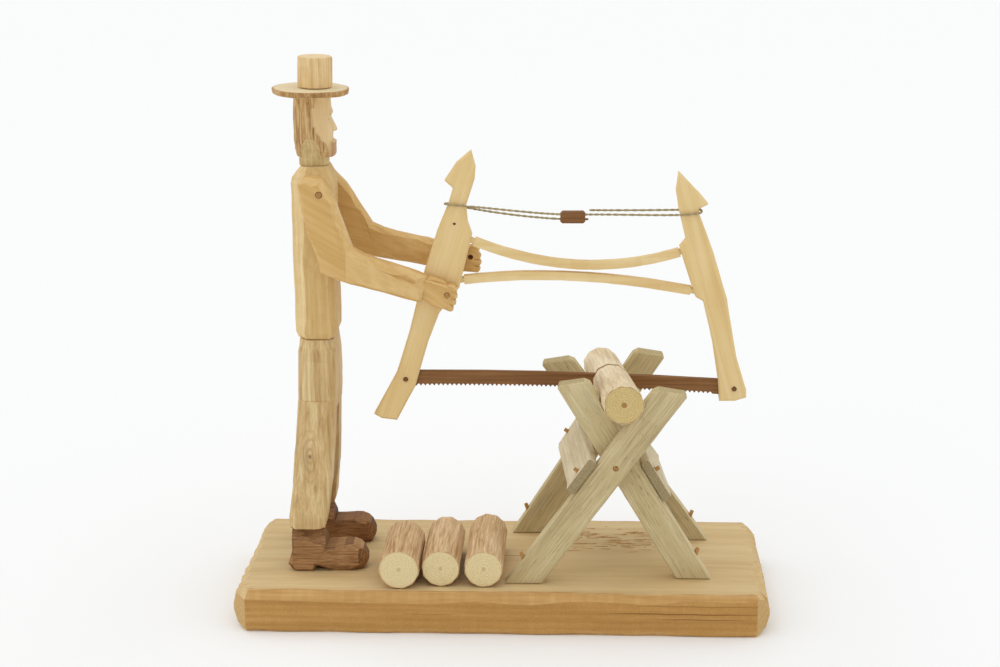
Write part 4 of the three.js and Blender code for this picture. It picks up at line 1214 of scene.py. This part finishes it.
def wooden_peg(node, head=1.25):
    """A whittled peg that fills its hole, with a wider, splintered head at its outer end."""
    rng = random.Random(node)
    along = long_axis(node)
    reach = mesh_points(node) @ np.array(along)
    middle = middle_of(node) / MM
    half = float(reach.max() - reach.min()) / 2 / MM
    log_middle = middle_of("sawn_log") / MM
    side, over = across(along)
    turns = uneven_angles(rng, 9, 0.25)
    rings = []
    away = [(middle + along * end * half - log_middle).length for end in (1, -1)]
    outer = 1 if away[0] > away[1] else -1
    for down, size, ragged in ((0, 0.7 * head, 0.9), (0.8, head, 0.3), (2.1, head, 0), (2.9, 1, 0),
                               (half, 1, 0), (2 * half, 0.8, 0)):
        ring = []
        for t in turns:
            out = PEG_RADIUS * size * rng.uniform(0.86, 1.0)
            up = outer * (half - down - ragged * rng.random())
            ring.append(middle + along * up + (side * math.cos(t) + over * math.sin(t)) * out)
        rings.append(ring)
    flow = straight_flow(along, middle * MM, (0, 0), rng.random())
    finish_piece(to_mesh(loft(rings)), node, "peg_wood", flow, along, node)


# ---------- pieces


def narrow_face(face):
    """The narrow sides of the sawbuck's legs are paler."""
    return 1.6 if abs(face.normal.y) < 0.5 and abs(face.normal.z) < 0.85 else 0.0


def make_figure():
    boot("near_boot", 1, "boot_wood")
    # The far boot gets the darker copy of the boot wood, painted shade.
    boot("far_boot", 2, "far_boot_painted_shade_wood")
    trousers()
    torso()
    head()
    hat_brim()
    hat_crown()
    arms()


def make_saw():
    for cheek in ("left_cheek", "right_cheek"):
        carve(cheek, "saw_wood", depth=0.25, tone=0.35)
    for stretcher in ("upper_stretcher", "lower_stretcher"):
        carve(stretcher, "saw_wood", step=12, depth=0.2, along=X)
    carve("saw_blade", "blade_wood", step=20, depth=0.05, along=X)
    carve("toggle", "blade_wood", step=5, depth=0.15, along=X)
    cord()


def make_sawbuck_and_pins():
    weathered = "weathered_wood"
    for end in ("front", "rear"):
        for kind in ("rising", "falling"):
            leg = f"{end}_{kind}_leg"
            carve(leg, weathered, step=16, depth=0.3, tone=0.3, lighten=narrow_face)
            wooden_peg(f"{end}_{kind}_foot_peg")
        wooden_peg(f"{end}_crossing_peg", head=1)
    for side in ("left", "right"):
        carve(f"{side}_side_board", "board_grey", depth=0.3, tone=0.4)
        for end in ("front", "rear"):
            wooden_peg(f"{side}_board_{end}_peg")
        carve(f"{side}_blade_pin", "blade_wood", step=5, depth=0.03, pith=(0, 0))
    for peg in ("near_hand_peg", "shoulder_dowel", "waist_dowel", "neck_dowel"):
        carve(peg, "peg_wood", step=9, depth=0.05, pith=(0, 0))


# ---------- studio and end


def soft_sun(name, towards, strength, spread):
    """A wide, soft light that falls evenly everywhere, along a direction."""
    data = bpy.data.lights.new(name, "SUN")
    data.energy = strength
    data.angle = math.radians(spread)
    light = add_object(name, data)
    light.matrix_world = Vector(towards).to_track_quat("-Z", "Y").to_matrix().to_4x4()


def make_studio():
    scene = bpy.context.scene
    scene.view_settings.view_transform = "Standard"
    scene.view_settings.look = "None"
    world = bpy.data.worlds.new("studio")
    world.use_nodes = True
    background = world.node_tree.nodes["Background"]
    background.inputs["Color"].default_value = (1, 1, 1, 1)
    background.inputs["Strength"].default_value = 0.475
    scene.world = world
    soft_sun("left_window", (0.85, 0.2, -0.62), 1.25, 110)
    soft_sun("top_light", (-0.1, -0.25, -1), 0.68, 90)
    soft_sun("right_window", (-0.85, 0.25, -0.5), 0.7, 100)
    bpy.ops.mesh.primitive_plane_add(size=40, location=(0, 0, 0))
    floor = bpy.context.object
    floor.name = "floor"
    s = Shader("floor_paper", 0.9, specular=0.1)
    speckle = s.noise(s.here(), (900, 900, 900), 2)
    colour = s.ramp(speckle, [(0.0, "#f6f7f7"), (1.0, "#f9fafa")])
    floor.data.materials.append(s.finish(colour, speckle, 0.01))


make_camera()
base_board()
make_figure()
make_saw()
make_sawbuck_and_pins()
logs()
make_studio()
